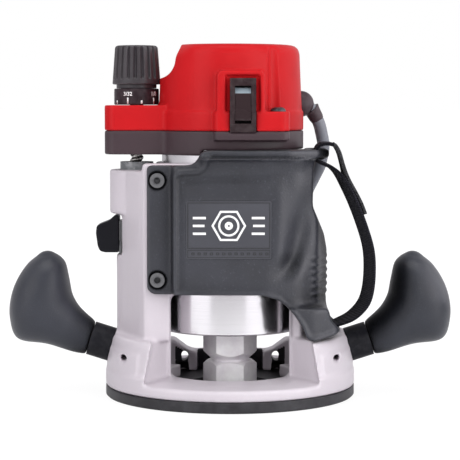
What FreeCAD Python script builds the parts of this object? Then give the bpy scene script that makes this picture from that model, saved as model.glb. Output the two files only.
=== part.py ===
import FreeCAD, Part
import math
import os

from FreeCAD import Vector

# Fixed-base woodworking router, millimetres.  +Z up, +X right, -Y front.
# Origin: centre of the underside of the round sub-base, on the spindle axis.

os.makedirs("parts", exist_ok=True)

# ------------------------------------------------------- shared dimensions
SUB_R = 76.2            # 6 in sub-base
SUB_T = 6.35            # 1/4 in plate
SUB_OPEN_R = 25.4       # bit opening
SUB_SCREW_PCD = 120.0
CAST_OPEN_R = 37.0      # opening of the cast foot
BARREL_R = 41.5         # motor barrel
BORE_R = BARREL_R + 0.05  # clamp bore, running fit
CLAMP_R = 45.5          # outside of the clamp barrel
CLAMP_Z0, CLAMP_Z1 = 64.6, 142.4
WELL_R = 44.0           # chip well under the clamp bore
FEET_Z = 37.9           # top of the two side feet
WINDOW_X = 35.4         # half width of the front window
COL_X = -56.9           # column, lead screw and dial axis
COL_R = 12.6
COL_BOSS_R = 16.5
COL_BOSS_Z0 = 110.8
COL_TOP = 137.7
LEAD_R = 4.15           # lead screw, over the crests
LUG_X, LUG_Y, LUG_Z = 11.5, 53.0, 110.0  # outer face of the lugs, bolt axis
BOLT_R = 3.2
GRIP_SCREWS = [(-42.7, 132.7), (-42.7, 74.1)]  # x, z

HEX_AF = 28.575         # 1-1/8 in across flats
SHANK_R = 6.35          # 1/2 in collet bore
NECK_R = 11.7
NUT_Z0, NUT_Z1 = 1.5, 20.4
HEX_Z0, HEX_Z1 = 25.3, 41.0
MOTOR_Z0, MOTOR_Z1 = 40.2, 152.0
HOUSING_BORE_R = 38.3
SHAFT_R = 10.0          # through the lower bearing and the armature
SHAFT_MID_R = 7.0       # through the commutator
SHAFT_TOP_R = 4.0       # in the upper bearing
COMM_R = 13.0

HEAD_R = 44.7
SEAM_Z = 161.5          # collar below, cap above
LEDGE_Z = 173.0         # step round the cap
LOBE_Z = 176.7          # top of the lobe under the dial
CAP_Z1 = 212.9

HANDLE_TILT = math.radians(17.6)
HANDLE_SEAM_X, HANDLE_SEAM_Z = -85.4, 33.9  # knob meets ferrule, left handle
HANDLE_R = 10.45
HANDLE_STUD_R = 4.0
FERRULE_L = 13.4
HANDLE_OUT = (-math.cos(HANDLE_TILT), 0.0, math.sin(HANDLE_TILT))  # outward, left

ALONG_X = (1, 0, 0)
ALONG_Y = (0, 1, 0)


# ----------------------------------------------------------------- helpers
def cyl(radius, z0, z1, x=0.0, y=0.0):
    return Part.makeCylinder(radius, z1 - z0, Vector(x, y, z0), Vector(0, 0, 1))


def ring(inner_r, outer_r, z0, z1, x=0.0):
    return cyl(outer_r, z0, z1, x).cut(cyl(inner_r, z0 - 1, z1 + 1, x))


def rod(radius, start, direction, length):
    return Part.makeCylinder(radius, length, Vector(*start), Vector(*direction))


def cone(r0, r1, z0, z1, x=0.0, y=0.0):
    return Part.makeCone(r0, r1, z1 - z0, Vector(x, y, z0), Vector(0, 0, 1))


def box(x0, x1, y0, y1, z0, z1):
    return Part.makeBox(x1 - x0, y1 - y0, z1 - z0, Vector(x0, y0, z0))


def polar(radius, degrees):
    angle = math.radians(degrees)
    return radius * math.cos(angle), radius * math.sin(angle)


def revolve(profile, x=0.0):
    """Turn a closed (radius, z) profile about the vertical axis at x."""
    points = [Vector(x + radius, 0, z) for radius, z in profile]
    wire = Part.makePolygon(points + [points[0]])
    return Part.Face(wire).revolve(Vector(x, 0, 0), Vector(0, 0, 1), 360)


def rounded(corners, radii):
    """Closed wire through 3-D corners, each rounded as far as its sides allow."""
    count = len(corners)
    if not isinstance(radii, (list, tuple)):
        radii = [radii] * count
    starts, ends, middles = [], [], []
    for i in range(count):
        corner = Vector(*corners[i])
        back = Vector(*corners[i - 1]) - corner
        ahead = Vector(*corners[(i + 1) % count]) - corner
        limit = 0.49 * min(back.Length, ahead.Length)
        back.normalize()
        ahead.normalize()
        radius, angle = radii[i], back.getAngle(ahead)
        if radius <= 0 or angle > math.pi - 1e-3:
            starts.append(corner)
            ends.append(corner)
            middles.append(None)
            continue
        setback = radius / math.tan(angle / 2)
        if setback > limit:
            setback = limit
            radius = setback * math.tan(angle / 2)
        bisector = back + ahead
        bisector.normalize()
        centre = corner + bisector * (radius / math.sin(angle / 2))
        starts.append(corner + back * setback)
        ends.append(corner + ahead * setback)
        middles.append(centre - bisector * radius)
    edges = []
    for i in range(count):
        if middles[i] is not None:
            edges.append(Part.Arc(starts[i], middles[i], ends[i]).toShape())
        following = starts[(i + 1) % count]
        if (following - ends[i]).Length > 1e-6:
            edges.append(Part.LineSegment(ends[i], following).toShape())
    return Part.Wire(edges)


def prism_z(points, radii, z0, z1):
    wire = rounded([(x, y, z0) for x, y in points], radii)
    return Part.Face(wire).extrude(Vector(0, 0, z1 - z0))


def prism_y(points, radii, y0, y1):
    wire = rounded([(x, y0, z) for x, z in points], radii)
    return Part.Face(wire).extrude(Vector(0, y1 - y0, 0))


def prism_x(points, radii, x0, x1):
    wire = rounded([(x0, y, z) for y, z in points], radii)
    return Part.Face(wire).extrude(Vector(x1 - x0, 0, 0))


def loft_z(bottom, z0, top, z1):
    wires = [Part.makePolygon([Vector(x, y, z) for x, y in points + [points[0]]])
             for points, z in ((bottom, z0), (top, z1))]
    return Part.makeLoft(wires, True, True)


def hexagon(across_flats, z0, z1):
    radius = across_flats / 2 / math.cos(math.pi / 6)
    points = [Vector(*polar(radius, 60 * k), z0) for k in range(7)]
    return Part.Face(Part.makePolygon(points)).extrude(Vector(0, 0, z1 - z0))


def fuse(first, *others):
    for shape in others:
        first = first.fuse(shape)
    return first.removeSplitter()


def cut(base, *tools):
    for tool in tools:
        base = base.cut(tool)
    return base


def mirror_x(shape):
    return shape.mirror(Vector(0, 0, 0), Vector(1, 0, 0))


def left_and_right(shape):
    return [shape, mirror_x(shape)]


def front_and_back(shape):
    return [shape, shape.mirror(Vector(0, 0, 0), Vector(0, 1, 0))]


def turned(shape, degrees):
    """A copy turned about the spindle axis."""
    copy = shape.copy()
    copy.rotate(Vector(0, 0, 0), Vector(0, 0, 1), degrees)
    return copy


def coil(radius, wire_r, length, turns, start, direction):
    """Round-wire coil spring along a direction."""
    helix = Part.makeHelix(length / turns, length, radius)
    circle = Part.Circle(Vector(radius, 0, 0), Vector(0, 1, 0), wire_r)
    spring = Part.Wire(helix).makePipeShell([Part.Wire(circle.toShape())], True, True)
    turn = FreeCAD.Rotation(Vector(0, 0, 1), Vector(*direction))
    spring.Placement = FreeCAD.Placement(Vector(*start), turn)
    return spring


def band(points, half, y0, y1):
    """A strip of thickness 2 * half following (x, z) points, extruded in Y."""
    left, right = [], []
    for i, (x, z) in enumerate(points):
        before = points[max(i - 1, 0)]
        after = points[min(i + 1, len(points) - 1)]
        dx, dz = after[0] - before[0], after[1] - before[1]
        length = math.hypot(dx, dz)
        normal_x, normal_z = -dz / length, dx / length
        left.append(Vector(x + normal_x * half, y0, z + normal_z * half))
        right.append(Vector(x - normal_x * half, y0, z - normal_z * half))
    left_curve, right_curve = Part.BSplineCurve(), Part.BSplineCurve()
    left_curve.interpolate(left)
    right_curve.interpolate(right[::-1])
    wire = Part.Wire([
        left_curve.toShape(),
        Part.LineSegment(left[-1], right[-1]).toShape(),
        right_curve.toShape(),
        Part.LineSegment(right[0], left[0]).toShape(),
    ])
    return Part.Face(wire).extrude(Vector(0, y1 - y0, 0))


def sweep(points, radius, bend_r=26.0):
    """A round section along straight runs joined by a tangent arc at each inner point."""
    path = [Vector(*point) for point in points]
    edges, reached = [], path[0]
    for before, corner, after in zip(path, path[1:], path[2:]):
        run_in, run_out = (corner - before).normalize(), (after - corner).normalize()
        half = run_in.getAngle(run_out) / 2
        setback = min(bend_r * math.tan(half), 0.46 * (corner - before).Length,
                      0.46 * (after - corner).Length)
        arc_r = setback / math.tan(half)
        start, end = corner - run_in * setback, corner + run_out * setback
        inward = (run_out - run_in).normalize()
        middle = corner + inward * (arc_r / math.cos(half) - arc_r)
        if (start - reached).Length > 1e-4:
            edges.append(Part.LineSegment(reached, start).toShape())
        edges.append(Part.Arc(start, middle, end).toShape())
        reached = end
    edges.append(Part.LineSegment(reached, path[-1]).toShape())
    circle = Part.Circle(path[0], (path[1] - path[0]).normalize(), radius)
    return Part.Wire(edges).makePipeShell([Part.Wire(circle.toShape())], True, True)


def handle_point(distance):
    """Point on the left handle axis, outward from the casting's boss face."""
    from_seam = distance - FERRULE_L
    return (HANDLE_SEAM_X + HANDLE_OUT[0] * from_seam, 0.0,
            HANDLE_SEAM_Z + HANDLE_OUT[2] * from_seam)


PIECES = []


def piece(make):
    """Register a function; its name becomes the name of the STEP file."""
    PIECES.append(make)
    return make


# ---------------------------------------------------------------- sub-base
SUB_SCREWS = [polar(SUB_SCREW_PCD / 2, degrees) for degrees in (90, 210, 330)]


@piece
def sub_base():
    plate = revolve([
        (SUB_OPEN_R, 0.6), (SUB_OPEN_R + 0.6, 0), (SUB_R - 0.9, 0), (SUB_R, 0.9),
        (SUB_R, SUB_T - 0.5), (SUB_R - 0.5, SUB_T), (SUB_OPEN_R, SUB_T)])
    for x, y in SUB_SCREWS:
        plate = cut(plate, cyl(2.7, -1, 7, x, y), cone(5.4, 2.7, 0.5, 3.2, x, y),
                    cyl(5.4, -1, 0.5, x, y))
    return plate


@piece
def sub_base_screws():
    """Countersunk screws with a cross recess."""
    screws = []
    for x, y in SUB_SCREWS:
        screw = fuse(cone(5.1, 2.5, 0.7, 3.3, x, y), cyl(2.5, 3.3, 12.0, x, y))
        screws.append(cut(screw, box(x - 4, x + 4, y - 0.6, y + 0.6, 0, 1.6),
                          box(x - 0.6, x + 0.6, y - 4, y + 4, 0, 1.6)))
    return Part.Compound(screws)


# ------------------------------------------------------------ base casting
REAR_WALL_R = 63.5
REAR_WALL_IN_R = 57.0
GUIDE_X, GUIDE_Z = 29.6, 16.6  # edge-guide rod holes
SET_X, _, SET_Z = handle_point(-10.0)  # handle set screw
SET_R = 2.1


def foot(edge_bottom, edge_top):
    """Raised side foot, built on the left; edges are the front inner edge's distance out."""
    bottom = [(-92, -84), (-edge_bottom, -84), (-edge_bottom, -50), (-36.5, -27), (-36.5, 27),
              (-edge_bottom + 8, 50), (-edge_bottom + 8, 84), (-92, 84)]
    top = [(-92, -84), (-edge_top, -84), (-edge_top, -43), (-WINDOW_X, -27), (-WINDOW_X, 27),
           (-edge_top + 4, 43), (-edge_top + 4, 84), (-92, 84)]
    region = loft_z(bottom, SUB_T, top, FEET_Z)
    body = revolve([(0, SUB_T), (SUB_R, SUB_T), (SUB_R, 17.0), (73.8, 18.0),
                    (72.4, FEET_Z - 3), (70.6, FEET_Z), (0, FEET_Z)])
    belt = revolve([(0, 17.4), (74.9, 17.4), (74.0, 30.0), (0, 30.0)]).common(
        prism_z([(-92, -50), (-46, -50), (-46, 50), (-92, 50)], 0, 17, 31))
    return fuse(body.common(region), belt.common(region))


def column_web():
    """Wall joining the left column to the clamp barrel."""
    return prism_z([
        (-66.0, -8.6), (-60.5, -20), (-54, -34), (-50.5, -39.8), (-WINDOW_X, -39.8),
        (-WINDOW_X, 25), (-38, 34), (-50, 29), (-60, 15), (-66.0, 8.6)],
        [3, 6, 6, 2, 0.8, 0, 4, 6, 4, 3], FEET_Z - 1, COL_TOP)


def right_leg():
    leg = prism_z([(WINDOW_X, -27), (44, -33), (51.4, -18), (52.2, 0), (51.4, 18), (44, 33),
                   (WINDOW_X, 27)], [1, 5, 10, 10, 10, 5, 1], FEET_Z - 1, CLAMP_Z0 + 4)
    return leg.common(cyl(52.3, 0, 200))


def clamp_lugs():
    front_view = prism_y([(-LUG_X, 94), (LUG_X, 94), (LUG_X, 126), (-LUG_X, 126)], 4, 40, 61)
    side_view = prism_x([(38, 92), (56, 92), (61, 98), (61, 122), (56, 128), (38, 128)],
                        3, -12, 12)
    return front_view.common(side_view)


def rear_wall():
    """Low wall at the back with two taller posts for the edge-guide rods."""
    wall = ring(REAR_WALL_IN_R, REAR_WALL_R, SUB_T, 19.5).common(box(-46, 46, 30, 70, 0, 40))
    post = ring(50.0, REAR_WALL_R, SUB_T, 28.5).common(prism_y(
        [(21.5, 6), (46, 6), (46, 28.5), (36, 28.5), (27, 21), (21.5, 19)],
        [0, 0, 0, 4, 4, 2], 30, 70))
    return fuse(wall, *left_and_right(post))


def casting_body():
    flange = revolve([(CAST_OPEN_R, SUB_T), (SUB_R, SUB_T), (SUB_R, 12.2), (75.2, 13.2),
                      (46, 14.6), (39, 13.8), (CAST_OPEN_R, 12.4)])
    column = fuse(cyl(COL_R, FEET_Z - 1, COL_TOP, COL_X),
                  cyl(COL_BOSS_R, COL_BOSS_Z0, COL_TOP, COL_X))
    front_pad = prism_z([(-51.8, -30), (-51.8, -39.8), (-20, -39.8), (-20, -28)],
                        [2, 1.5, 0, 0], CLAMP_Z0, CLAMP_Z1)
    return fuse(
        flange,
        foot(51.7, 45.7),
        mirror_x(foot(53.6, 48.0)),
        *left_and_right(rod(11.4, handle_point(-16), HANDLE_OUT, 16)),
        column,
        column_web(),
        front_pad,
        right_leg(),
        cyl(CLAMP_R, CLAMP_Z0, CLAMP_Z1),
        cyl(47.0, 13.0, CLAMP_Z0 + 1),  # wall of the chip well
        clamp_lugs(),
        rear_wall(),
    )


def front_window():
    return prism_y([(-WINDOW_X, 13.2), (WINDOW_X, 13.2), (WINDOW_X, CLAMP_Z0),
                    (-WINDOW_X, CLAMP_Z0)], [0, 0, 5, 5], -90, 0).common(cyl(60, 0, 100))


def rear_window():
    return prism_y([(-38, 28.5), (-27, 21), (-21.5, 19.5), (21.5, 19.5), (27, 21), (38, 28.5),
                    (38, CLAMP_Z0), (-38, CLAMP_Z0)],
                   [0, 3, 3, 3, 3, 0, 6, 6], 0, 90).common(cyl(49.9, 0, 100))


@piece
def base_casting():
    rear_recess = box(-20.6, 20.6, 20.0, 60.0, 0, 14.9).common(cyl(REAR_WALL_IN_R, 0, 20))
    post_recess = box(26.4, 34.8, 30.0, 60.0, 0, 12.6).common(cyl(58.5, 0, 20))
    casting = cut(
        casting_body(),
        rear_recess,
        box(-38.0, 38.0, 22.0, 60.0, 0, 29.0).common(cyl(49.9, 0, 30)),
        *left_and_right(post_recess),
        cyl(BORE_R, CLAMP_Z0 - 2, CLAMP_Z1 + 1),
        cyl(WELL_R, 14.5, CLAMP_Z0),
        cyl(CAST_OPEN_R, 0, 15),
        front_window(),
        rear_window(),
        box(-1.5, 1.5, 38, 70, CLAMP_Z0 - 2, CLAMP_Z1 + 1),  # clamp slit
        rod(BOLT_R + 0.1, (-20, LUG_Y, LUG_Z), ALONG_X, 40),
        # lead screw bore, bushing seat, then the opening for half nut and button
        cyl(5.0, 38.0, COL_TOP + 1, COL_X),
        cyl(8.0, 118.0, COL_TOP + 1, COL_X),
        box(-76, -46.8, -8.4, 8.4, 86.5, 108.0),
        box(-76, -64.0, -8.4, 8.4, 86.5, 110.6),
        *left_and_right(rod(HANDLE_STUD_R, handle_point(-17), HANDLE_OUT, 18)),
        *left_and_right(rod(HANDLE_R + 0.4, handle_point(0), HANDLE_OUT, 12)),
    )
    for x, z in GRIP_SCREWS:
        casting = casting.cut(rod(2.5, (x, -45, z), ALONG_Y, 14))
    casting = cut(casting, *left_and_right(rod(SET_R, (SET_X, -80, SET_Z), ALONG_Y, 77)))
    for x, y in SUB_SCREWS:
        casting = casting.cut(cyl(2.5, 0, 12.0, x, y))
    for x in (-GUIDE_X, GUIDE_X):
        casting = casting.cut(rod(3.1, (x, 40, GUIDE_Z), ALONG_Y, 40))
    return casting


@piece
def column_bushing():
    return cut(fuse(cyl(10.1, COL_TOP, CLAMP_Z1, COL_X), cyl(8.0, 119.0, COL_TOP, COL_X)),
               cyl(LEAD_R + 0.1, 100, 150, COL_X))


# ------------------------------------------ clamp: bolt, washer, nut, lever
def clamp_rod(radius, x, length):
    """Cylinder on the clamp bolt axis, running right from x."""
    return rod(radius, (x, LUG_Y, LUG_Z), ALONG_X, length)


@piece
def clamp_bolt():
    return fuse(clamp_rod(BOLT_R, -21, 46), clamp_rod(5.5, 25, 4))


@piece
def clamp_washer():
    return cut(clamp_rod(7.0, LUG_X, 1.4), clamp_rod(BOLT_R, 0, 30))


@piece
def clamp_nut():
    width, across_flats = 5.5, 10.0
    radius = across_flats / 2 / math.cos(math.pi / 6)
    corners = []
    for k in range(7):
        y, z = polar(radius, 60 * k + 30)
        corners.append(Vector(-LUG_X - width, LUG_Y + y, LUG_Z + z))
    nut = Part.Face(Part.makePolygon(corners)).extrude(Vector(width, 0, 0))
    return cut(nut, clamp_rod(BOLT_R, -30, 60))


@piece
def clamp_lever():
    # y, z from the bolt axis
    outline = [(1, -4), (7.5, 4), (12, 22), (14, 40), (8, 41), (4, 24), (-6, 5)]
    arm = prism_x([(LUG_Y + y, LUG_Z + z) for y, z in outline],
                  [2, 6, 6, 3, 3, 6, 3], 14.5, 23.5)
    return cut(fuse(clamp_rod(8.5, 12.95, 11.9), arm), clamp_rod(BOLT_R + 0.05, 0, 40))


# ------------------------------------------------ half nut, release button
@piece
def half_nut():
    slot_r = LEAD_R + 0.08
    travel = 4.2
    yoke = prism_z([(-67.5, -8.0), (-50.6, -8.0), (-50.6, 8.0), (-67.5, 8.0)],
                   1.0, 94.5, 106.5)
    tab = box(-67.5, -66.0, -8.0, 8.0, 87.0, 94.5)
    slot = fuse(cyl(slot_r, 90, 110, COL_X), box(COL_X - travel, COL_X, -slot_r, slot_r, 90, 110),
                cyl(slot_r, 90, 110, COL_X - travel))
    return cut(fuse(yoke, tab), slot)


@piece
def release_button():
    return prism_y([
        (-67.6, 109.6), (-69.8, 110.2), (-73.9, 106.6), (-78.4, 104.9), (-81.2, 103.6),
        (-81.7, 99.0), (-80.6, 91.0), (-79.2, 88.0), (-76.0, 87.2), (-67.6, 87.2)],
        [0.5, 1.5, 4, 3, 2, 6, 4, 2, 3, 0.5], -7.8, 7.8)


@piece
def release_springs():
    return Part.Compound([coil(1.3, 0.4, 18.1, 8, (-65.55, y, 90.6), ALONG_X)
                          for y in (-6.2, 6.2)])


# ----------------------------------------------------------------- handles
# Knob sections beyond the seam: inner edge (x, z), outer edge (x, z), half depth in Y
KNOB = [
    ((-89.46, 50.12), (-97.43, 25.61), 12.4),
    ((-93.75, 55.02), (-112.75, 30.51), 16.0),
    ((-96.81, 61.15), (-130.51, 33.58), 20.0),
    ((-98.04, 67.28), (-135.23, 46.44), 21.5),
    ((-98.96, 72.18), (-134.62, 58.7), 21.0),
    ((-100.8, 80.14), (-130.82, 69.73), 17.8),
    ((-104.17, 84.25), (-124.39, 79.53), 12.4),
    ((-108.15, 86.7), (-117.65, 85.17), 5.6),
]


@piece
def handle_left_knob():
    dx, dz = HANDLE_R * math.sin(HANDLE_TILT), HANDLE_R * math.cos(HANDLE_TILT)
    seam = ((HANDLE_SEAM_X + dx, HANDLE_SEAM_Z + dz),
            (HANDLE_SEAM_X - dx, HANDLE_SEAM_Z - dz), HANDLE_R)
    wires = []
    for inner, outer, depth in [seam] + KNOB:
        centre_x, centre_z = (inner[0] + outer[0]) / 2, (inner[1] + outer[1]) / 2
        half_x, half_z = (inner[0] - outer[0]) / 2, (inner[1] - outer[1]) / 2
        points = []
        for i in range(20):
            across, out = polar(1, 18 * i)
            points.append(Vector(centre_x + half_x * across, depth * out,
                                 centre_z + half_z * across))
        curve = Part.BSplineCurve()
        curve.interpolate(points, PeriodicFlag=True)
        wires.append(Part.Wire(curve.toShape()))
    knob = Part.makeLoft(wires, True, False)
    return knob.cut(rod(HANDLE_STUD_R, handle_point(0), HANDLE_OUT, FERRULE_L + 13))


@piece
def handle_right_knob():
    return mirror_x(handle_left_knob())


@piece
def handle_left_ferrule():
    return cut(rod(HANDLE_R, handle_point(0), HANDLE_OUT, FERRULE_L),
               rod(HANDLE_STUD_R, handle_point(-1), HANDLE_OUT, FERRULE_L + 2))


@piece
def handle_right_ferrule():
    return mirror_x(handle_left_ferrule())


@piece
def handle_studs():
    return Part.Compound(left_and_right(
        rod(HANDLE_STUD_R, handle_point(-16.0), HANDLE_OUT, 16.0 + FERRULE_L + 12)))


@piece
def handle_set_screws():
    return Part.Compound(left_and_right(cut(
        rod(SET_R, (SET_X, -20.0, SET_Z), ALONG_Y, 15.9),
        rod(1.2, (SET_X, -20.5, SET_Z), ALONG_Y, 3))))


# -------------------------------------------------------------- hand strap
STRAP_T = 2.2
STRAP_Y0 = -34.5
STRAP_Y1 = STRAP_Y0 + 25.0
# Centre line from top to bottom, x, z
STRAP = [
    (61.4, 153.4), (58.6, 153.9), (54.2, 153.5), (51.8, 151.4), (51.2, 147.6), (52.2, 143.6),
    (55.4, 141.9), (60.2, 139.6), (64.6, 135.4), (68.8, 128.8), (74.1, 117.7), (79.5, 103.4),
    (83.0, 91.0), (83.9, 79.1), (83.0, 66.7), (80.1, 57.8), (73.4, 50.6), (65.0, 46.6),
    (59.6, 45.2),
]
FASTENER_TAB = [(62.0, 152.9), (64.4, 148.8), (66.2, 143.4), (68.2, 137.8), (71.4, 130.0),
                (76.0, 120.0), (79.6, 111.4)]  # centre line, x, z


@piece
def hand_strap():
    return band(STRAP, STRAP_T / 2, STRAP_Y0, STRAP_Y1)


@piece
def strap_fastener_tab():
    return band(FASTENER_TAB, 0.9, -33.0, -11.0).cut(band(STRAP, STRAP_T / 2, -40, 0))


def strap_room():
    """Passage for the strap through the grip."""
    y0, y1 = STRAP_Y0 - 0.3, STRAP_Y1 + 0.3
    return fuse(band(STRAP + [(50.0, 43.5)], STRAP_T / 2 + 0.2, y0, y1),
                box(49.8, 52.6, y0, y1, 141.0, 152.0))


# --------------------------------------------------------------- body grip
PLATE_X0, PLATE_X1, PLATE_Z0, PLATE_Z1 = -25.7, 24.3, 86.8, 120.9
PLATE_BACK_Y = -48.75
PLATE_GAP = 0.2
GRIP_BACK_Y = -39.95    # back of the grip in front of the casting's pad
# Front outline, x, z, and its corner radii
GRIP = [
    (-48.9, 141.6), (-21.0, 141.6), (-16.6, 150.6), (59.5, 150.6), (59.5, 145.4),
    (49.6, 142.5), (49.0, 117.0), (52.3, 109.5), (56.6, 99.7), (58.6, 90.0), (58.8, 66.0),
    (57.8, 59.0), (60.2, 48.7), (66.6, 43.8), (66.0, 41.6), (49.5, 37.9), (45.3, 39.4),
    (42.5, 46.9), (36.6, 55.4), (28.1, 62.6), (18.7, 65.6), (-45.5, 65.6), (-48.9, 68.5),
]
GRIP_RADII = [2.2, 6, 6, 1.5, 1.5, 2, 8, 10, 10, 10, 14, 6, 6, 1.5, 1.2, 6, 3, 10, 20, 20, 10,
              1.5, 2]


@piece
def body_grip():
    outline = prism_y(GRIP, GRIP_RADII, -60, 40)
    middle = prism_z([
        (-49.0, GRIP_BACK_Y), (-49.0, -45.6), (-34.2, -45.6), (-33.2, -49.6), (22, -49.6),
        (40, -46.5), (52, -34), (58.9, -14), (58.2, 6), (51, 20), (38, 33), (30, 26),
        (-20, GRIP_BACK_Y)], [0.5, 1, 0.5, 2, 10, 14, 14, 14, 12, 8, 3, 0, 0], 58.0, 145.4)
    lower = prism_z([
        (26, -52), (50, -50), (64, -40), (67.2, -24), (66, -6), (60, 4), (46, 8), (40, -30)],
        [2, 8, 10, 10, 8, 6, 2, 0], 37.0, 58.2)
    top = prism_z([
        (-18, -44), (-18, -52.6), (14, -53.6), (36, -50.2), (52, -39), (59.6, -22),
        (59.6, -4), (57, 8), (44, 12), (30, -30)],
        [1, 3, 10, 12, 12, 10, 6, 4, 1, 0], 145.2, 150.6)
    grip = cut(
        fuse(outline.common(middle), outline.common(lower), outline.common(top)),
        cyl(CLAMP_R + 0.25, 60.0, 146.5),
        cyl(47.4, 30.0, CLAMP_Z0 + 1.3),
        cyl(HEAD_R + 1.6, 146.0, 160.0),
        cyl(52.6, 30.0, CLAMP_Z0 + 4.6).common(box(33.0, 80, -70, 70, 0, 100)),
        box(-60, -19.9, GRIP_BACK_Y, 0, 60, 150),
        strap_room(),
        box(PLATE_X0 - PLATE_GAP, PLATE_X1 + PLATE_GAP, -50.5, PLATE_BACK_Y,
            PLATE_Z0 - PLATE_GAP, PLATE_Z1 + PLATE_GAP),
    )
    for x, z in GRIP_SCREWS:
        grip = cut(grip, rod(2.6, (x, -60, z), ALONG_Y, 30), rod(5.3, (x, -47, z), ALONG_Y, 3.6))
    return grip


@piece
def body_grip_screws():
    screws = []
    for x, z in GRIP_SCREWS:
        screw = fuse(rod(4.3, (x, -46.2, z), ALONG_Y, 2.8), rod(2.5, (x, -43.4, z), ALONG_Y, 12))
        screws.append(cut(screw, rod(1.9, (x, -47, z), ALONG_Y, 2.4)))
    return Part.Compound(screws)


@piece
def name_plate():
    return prism_y([(PLATE_X0, PLATE_Z0), (PLATE_X1, PLATE_Z0), (PLATE_X1, PLATE_Z1),
                    (PLATE_X0, PLATE_Z1)], 1.0, PLATE_BACK_Y - 0.6, PLATE_BACK_Y)


# ------------------------------------------------------------ motor housing
RETAINER_SCREWS = [polar(23.2, 120 * k + 90) for k in range(3)]
RETAINER_SCREW_R = 1.3
LOWER_BEARING = dict(bore=SHAFT_R, inner_r=13.0, outer_r=18.0, rim=21.0, z0=45.0, z1=57.0,
                     ball_r=3.0, count=9)
UPPER_BEARING = dict(bore=SHAFT_TOP_R, inner_r=6.0, outer_r=9.0, rim=11.0, z0=166.0, z1=173.0,
                     ball_r=1.9, count=7)


@piece
def motor_housing():
    housing = revolve([
        (17.2, MOTOR_Z0), (40.7, MOTOR_Z0), (BARREL_R, 41.0), (BARREL_R, MOTOR_Z1),
        (HOUSING_BORE_R, MOTOR_Z1), (HOUSING_BORE_R, 46.2), (36.8, 44.6), (25.5, 44.6),
        (25.5, 57.0), (21.0, 57.0), (21.0, 45.0), (17.2, 45.0)])
    for k in range(6):
        housing = housing.cut(cyl(3.6, 39, 46, *polar(31.2, 60 * k + 30)))
    for x, y in RETAINER_SCREWS:
        housing = housing.cut(cyl(RETAINER_SCREW_R, 49, 58, x, y))
    return housing


@piece
def bearing_retainer():
    holes = [cyl(RETAINER_SCREW_R, 56, 60, x, y) for x, y in RETAINER_SCREWS]
    return cut(ring(15.5, 25.5, 57.0, 59.0), *holes)


@piece
def retainer_screws():
    return Part.Compound([
        cut(fuse(cyl(RETAINER_SCREW_R, 50, 59, x, y), cyl(2.2, 59, 60.5, x, y)),
            box(x - 2.4, x + 2.4, y - 0.35, y + 0.35, 59.8, 61))
        for x, y in RETAINER_SCREWS])


def bearing(bore, inner_r, outer_r, rim, z0, z1, ball_r, count):
    """Outer race with its two shields, and inner race with the balls."""
    pitch, middle = (inner_r + outer_r) / 2, (z0 + z1) / 2
    track = Part.makeTorus(pitch, ball_r + 0.05, Vector(0, 0, middle), Vector(0, 0, 1))
    outer = ring(outer_r, rim, z0, z1)
    for bottom, top in ((z0 + 0.3, z0 + 0.9), (z1 - 0.9, z1 - 0.3)):
        outer = outer.fuse(ring(inner_r + 0.35, outer_r + 0.5, bottom, top))
    inner = cut(ring(bore, inner_r, z0, z1), track)
    balls = [Part.makeSphere(ball_r, Vector(*polar(pitch, 360 * k / count), middle))
             for k in range(count)]
    return outer.cut(track), Part.Compound([inner, *balls])


@piece
def lower_bearing_outer():
    return bearing(**LOWER_BEARING)[0]


@piece
def lower_bearing_inner():
    return bearing(**LOWER_BEARING)[1]


@piece
def upper_bearing_outer():
    return bearing(**UPPER_BEARING)[0]


@piece
def upper_bearing_inner():
    return bearing(**UPPER_BEARING)[1]


@piece
def upper_bearing_bracket():
    bridge = fuse(
        box(-38, 38, -10, 10, 163.0, 166.0),
        ring(36.4, 39.4, MOTOR_Z1, 166.0).common(box(-40, 40, -10, 10, 150, 170)),
        cyl(14.0, 163.0, 174.5),
    ).common(cyl(39.4, 150, 180))
    seat = cyl(UPPER_BEARING["rim"], UPPER_BEARING["z0"], UPPER_BEARING["z1"])
    return cut(bridge, seat, cyl(7.6, 160, 168))


# ------------------------------------------------------- field and brushes
@piece
def field_core():
    """Ring with a pole on the left and one on the right."""
    z0, z1 = 78, 122
    core = ring(32.0, HOUSING_BORE_R, z0, z1)
    pole = ring(24.7, 33.0, z0, z1).common(prism_z([(0, 0), (60, -62), (60, 62)], 0, z0, z1))
    for degrees in (0, 180):
        core = core.fuse(turned(pole, degrees))
    return core.removeSplitter()


@piece
def field_coils():
    """End rings joined by runs at the front and the back."""
    z0, z1 = 66.2, 134.0
    inner_r = 25.2
    coils = fuse(ring(inner_r, 36.0, z0, 77.8), ring(inner_r, 36.0, 122.2, z1))
    run = ring(inner_r, 31.6, z0, z1).common(
        prism_z([(0, 0), (60, -48), (60, 48)], 0, z0, z1))
    for degrees in (90, 270):
        coils = coils.fuse(turned(run, degrees))
    return coils.removeSplitter()


@piece
def brush_plate():
    return ring(16.5, 38.2, 137.6, 140.0)


@piece
def brush_holders():
    return Part.Compound(front_and_back(cut(
        box(-5.4, 5.4, -37.4, -15.0, 140.0, 151.8),
        box(-3.95, 3.95, -35.6, -14.0, 141.55, 150.45))))


@piece
def carbon_brushes():
    return Part.Compound(front_and_back(
        box(-3.9, 3.9, -27.6, -COMM_R, 141.6, 150.4).cut(cyl(COMM_R + 0.05, 135, 160))))


@piece
def brush_springs():
    return Part.Compound(front_and_back(coil(2.6, 0.45, 6.6, 5, (0, -34.9, 146.0), ALONG_Y)))


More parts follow.
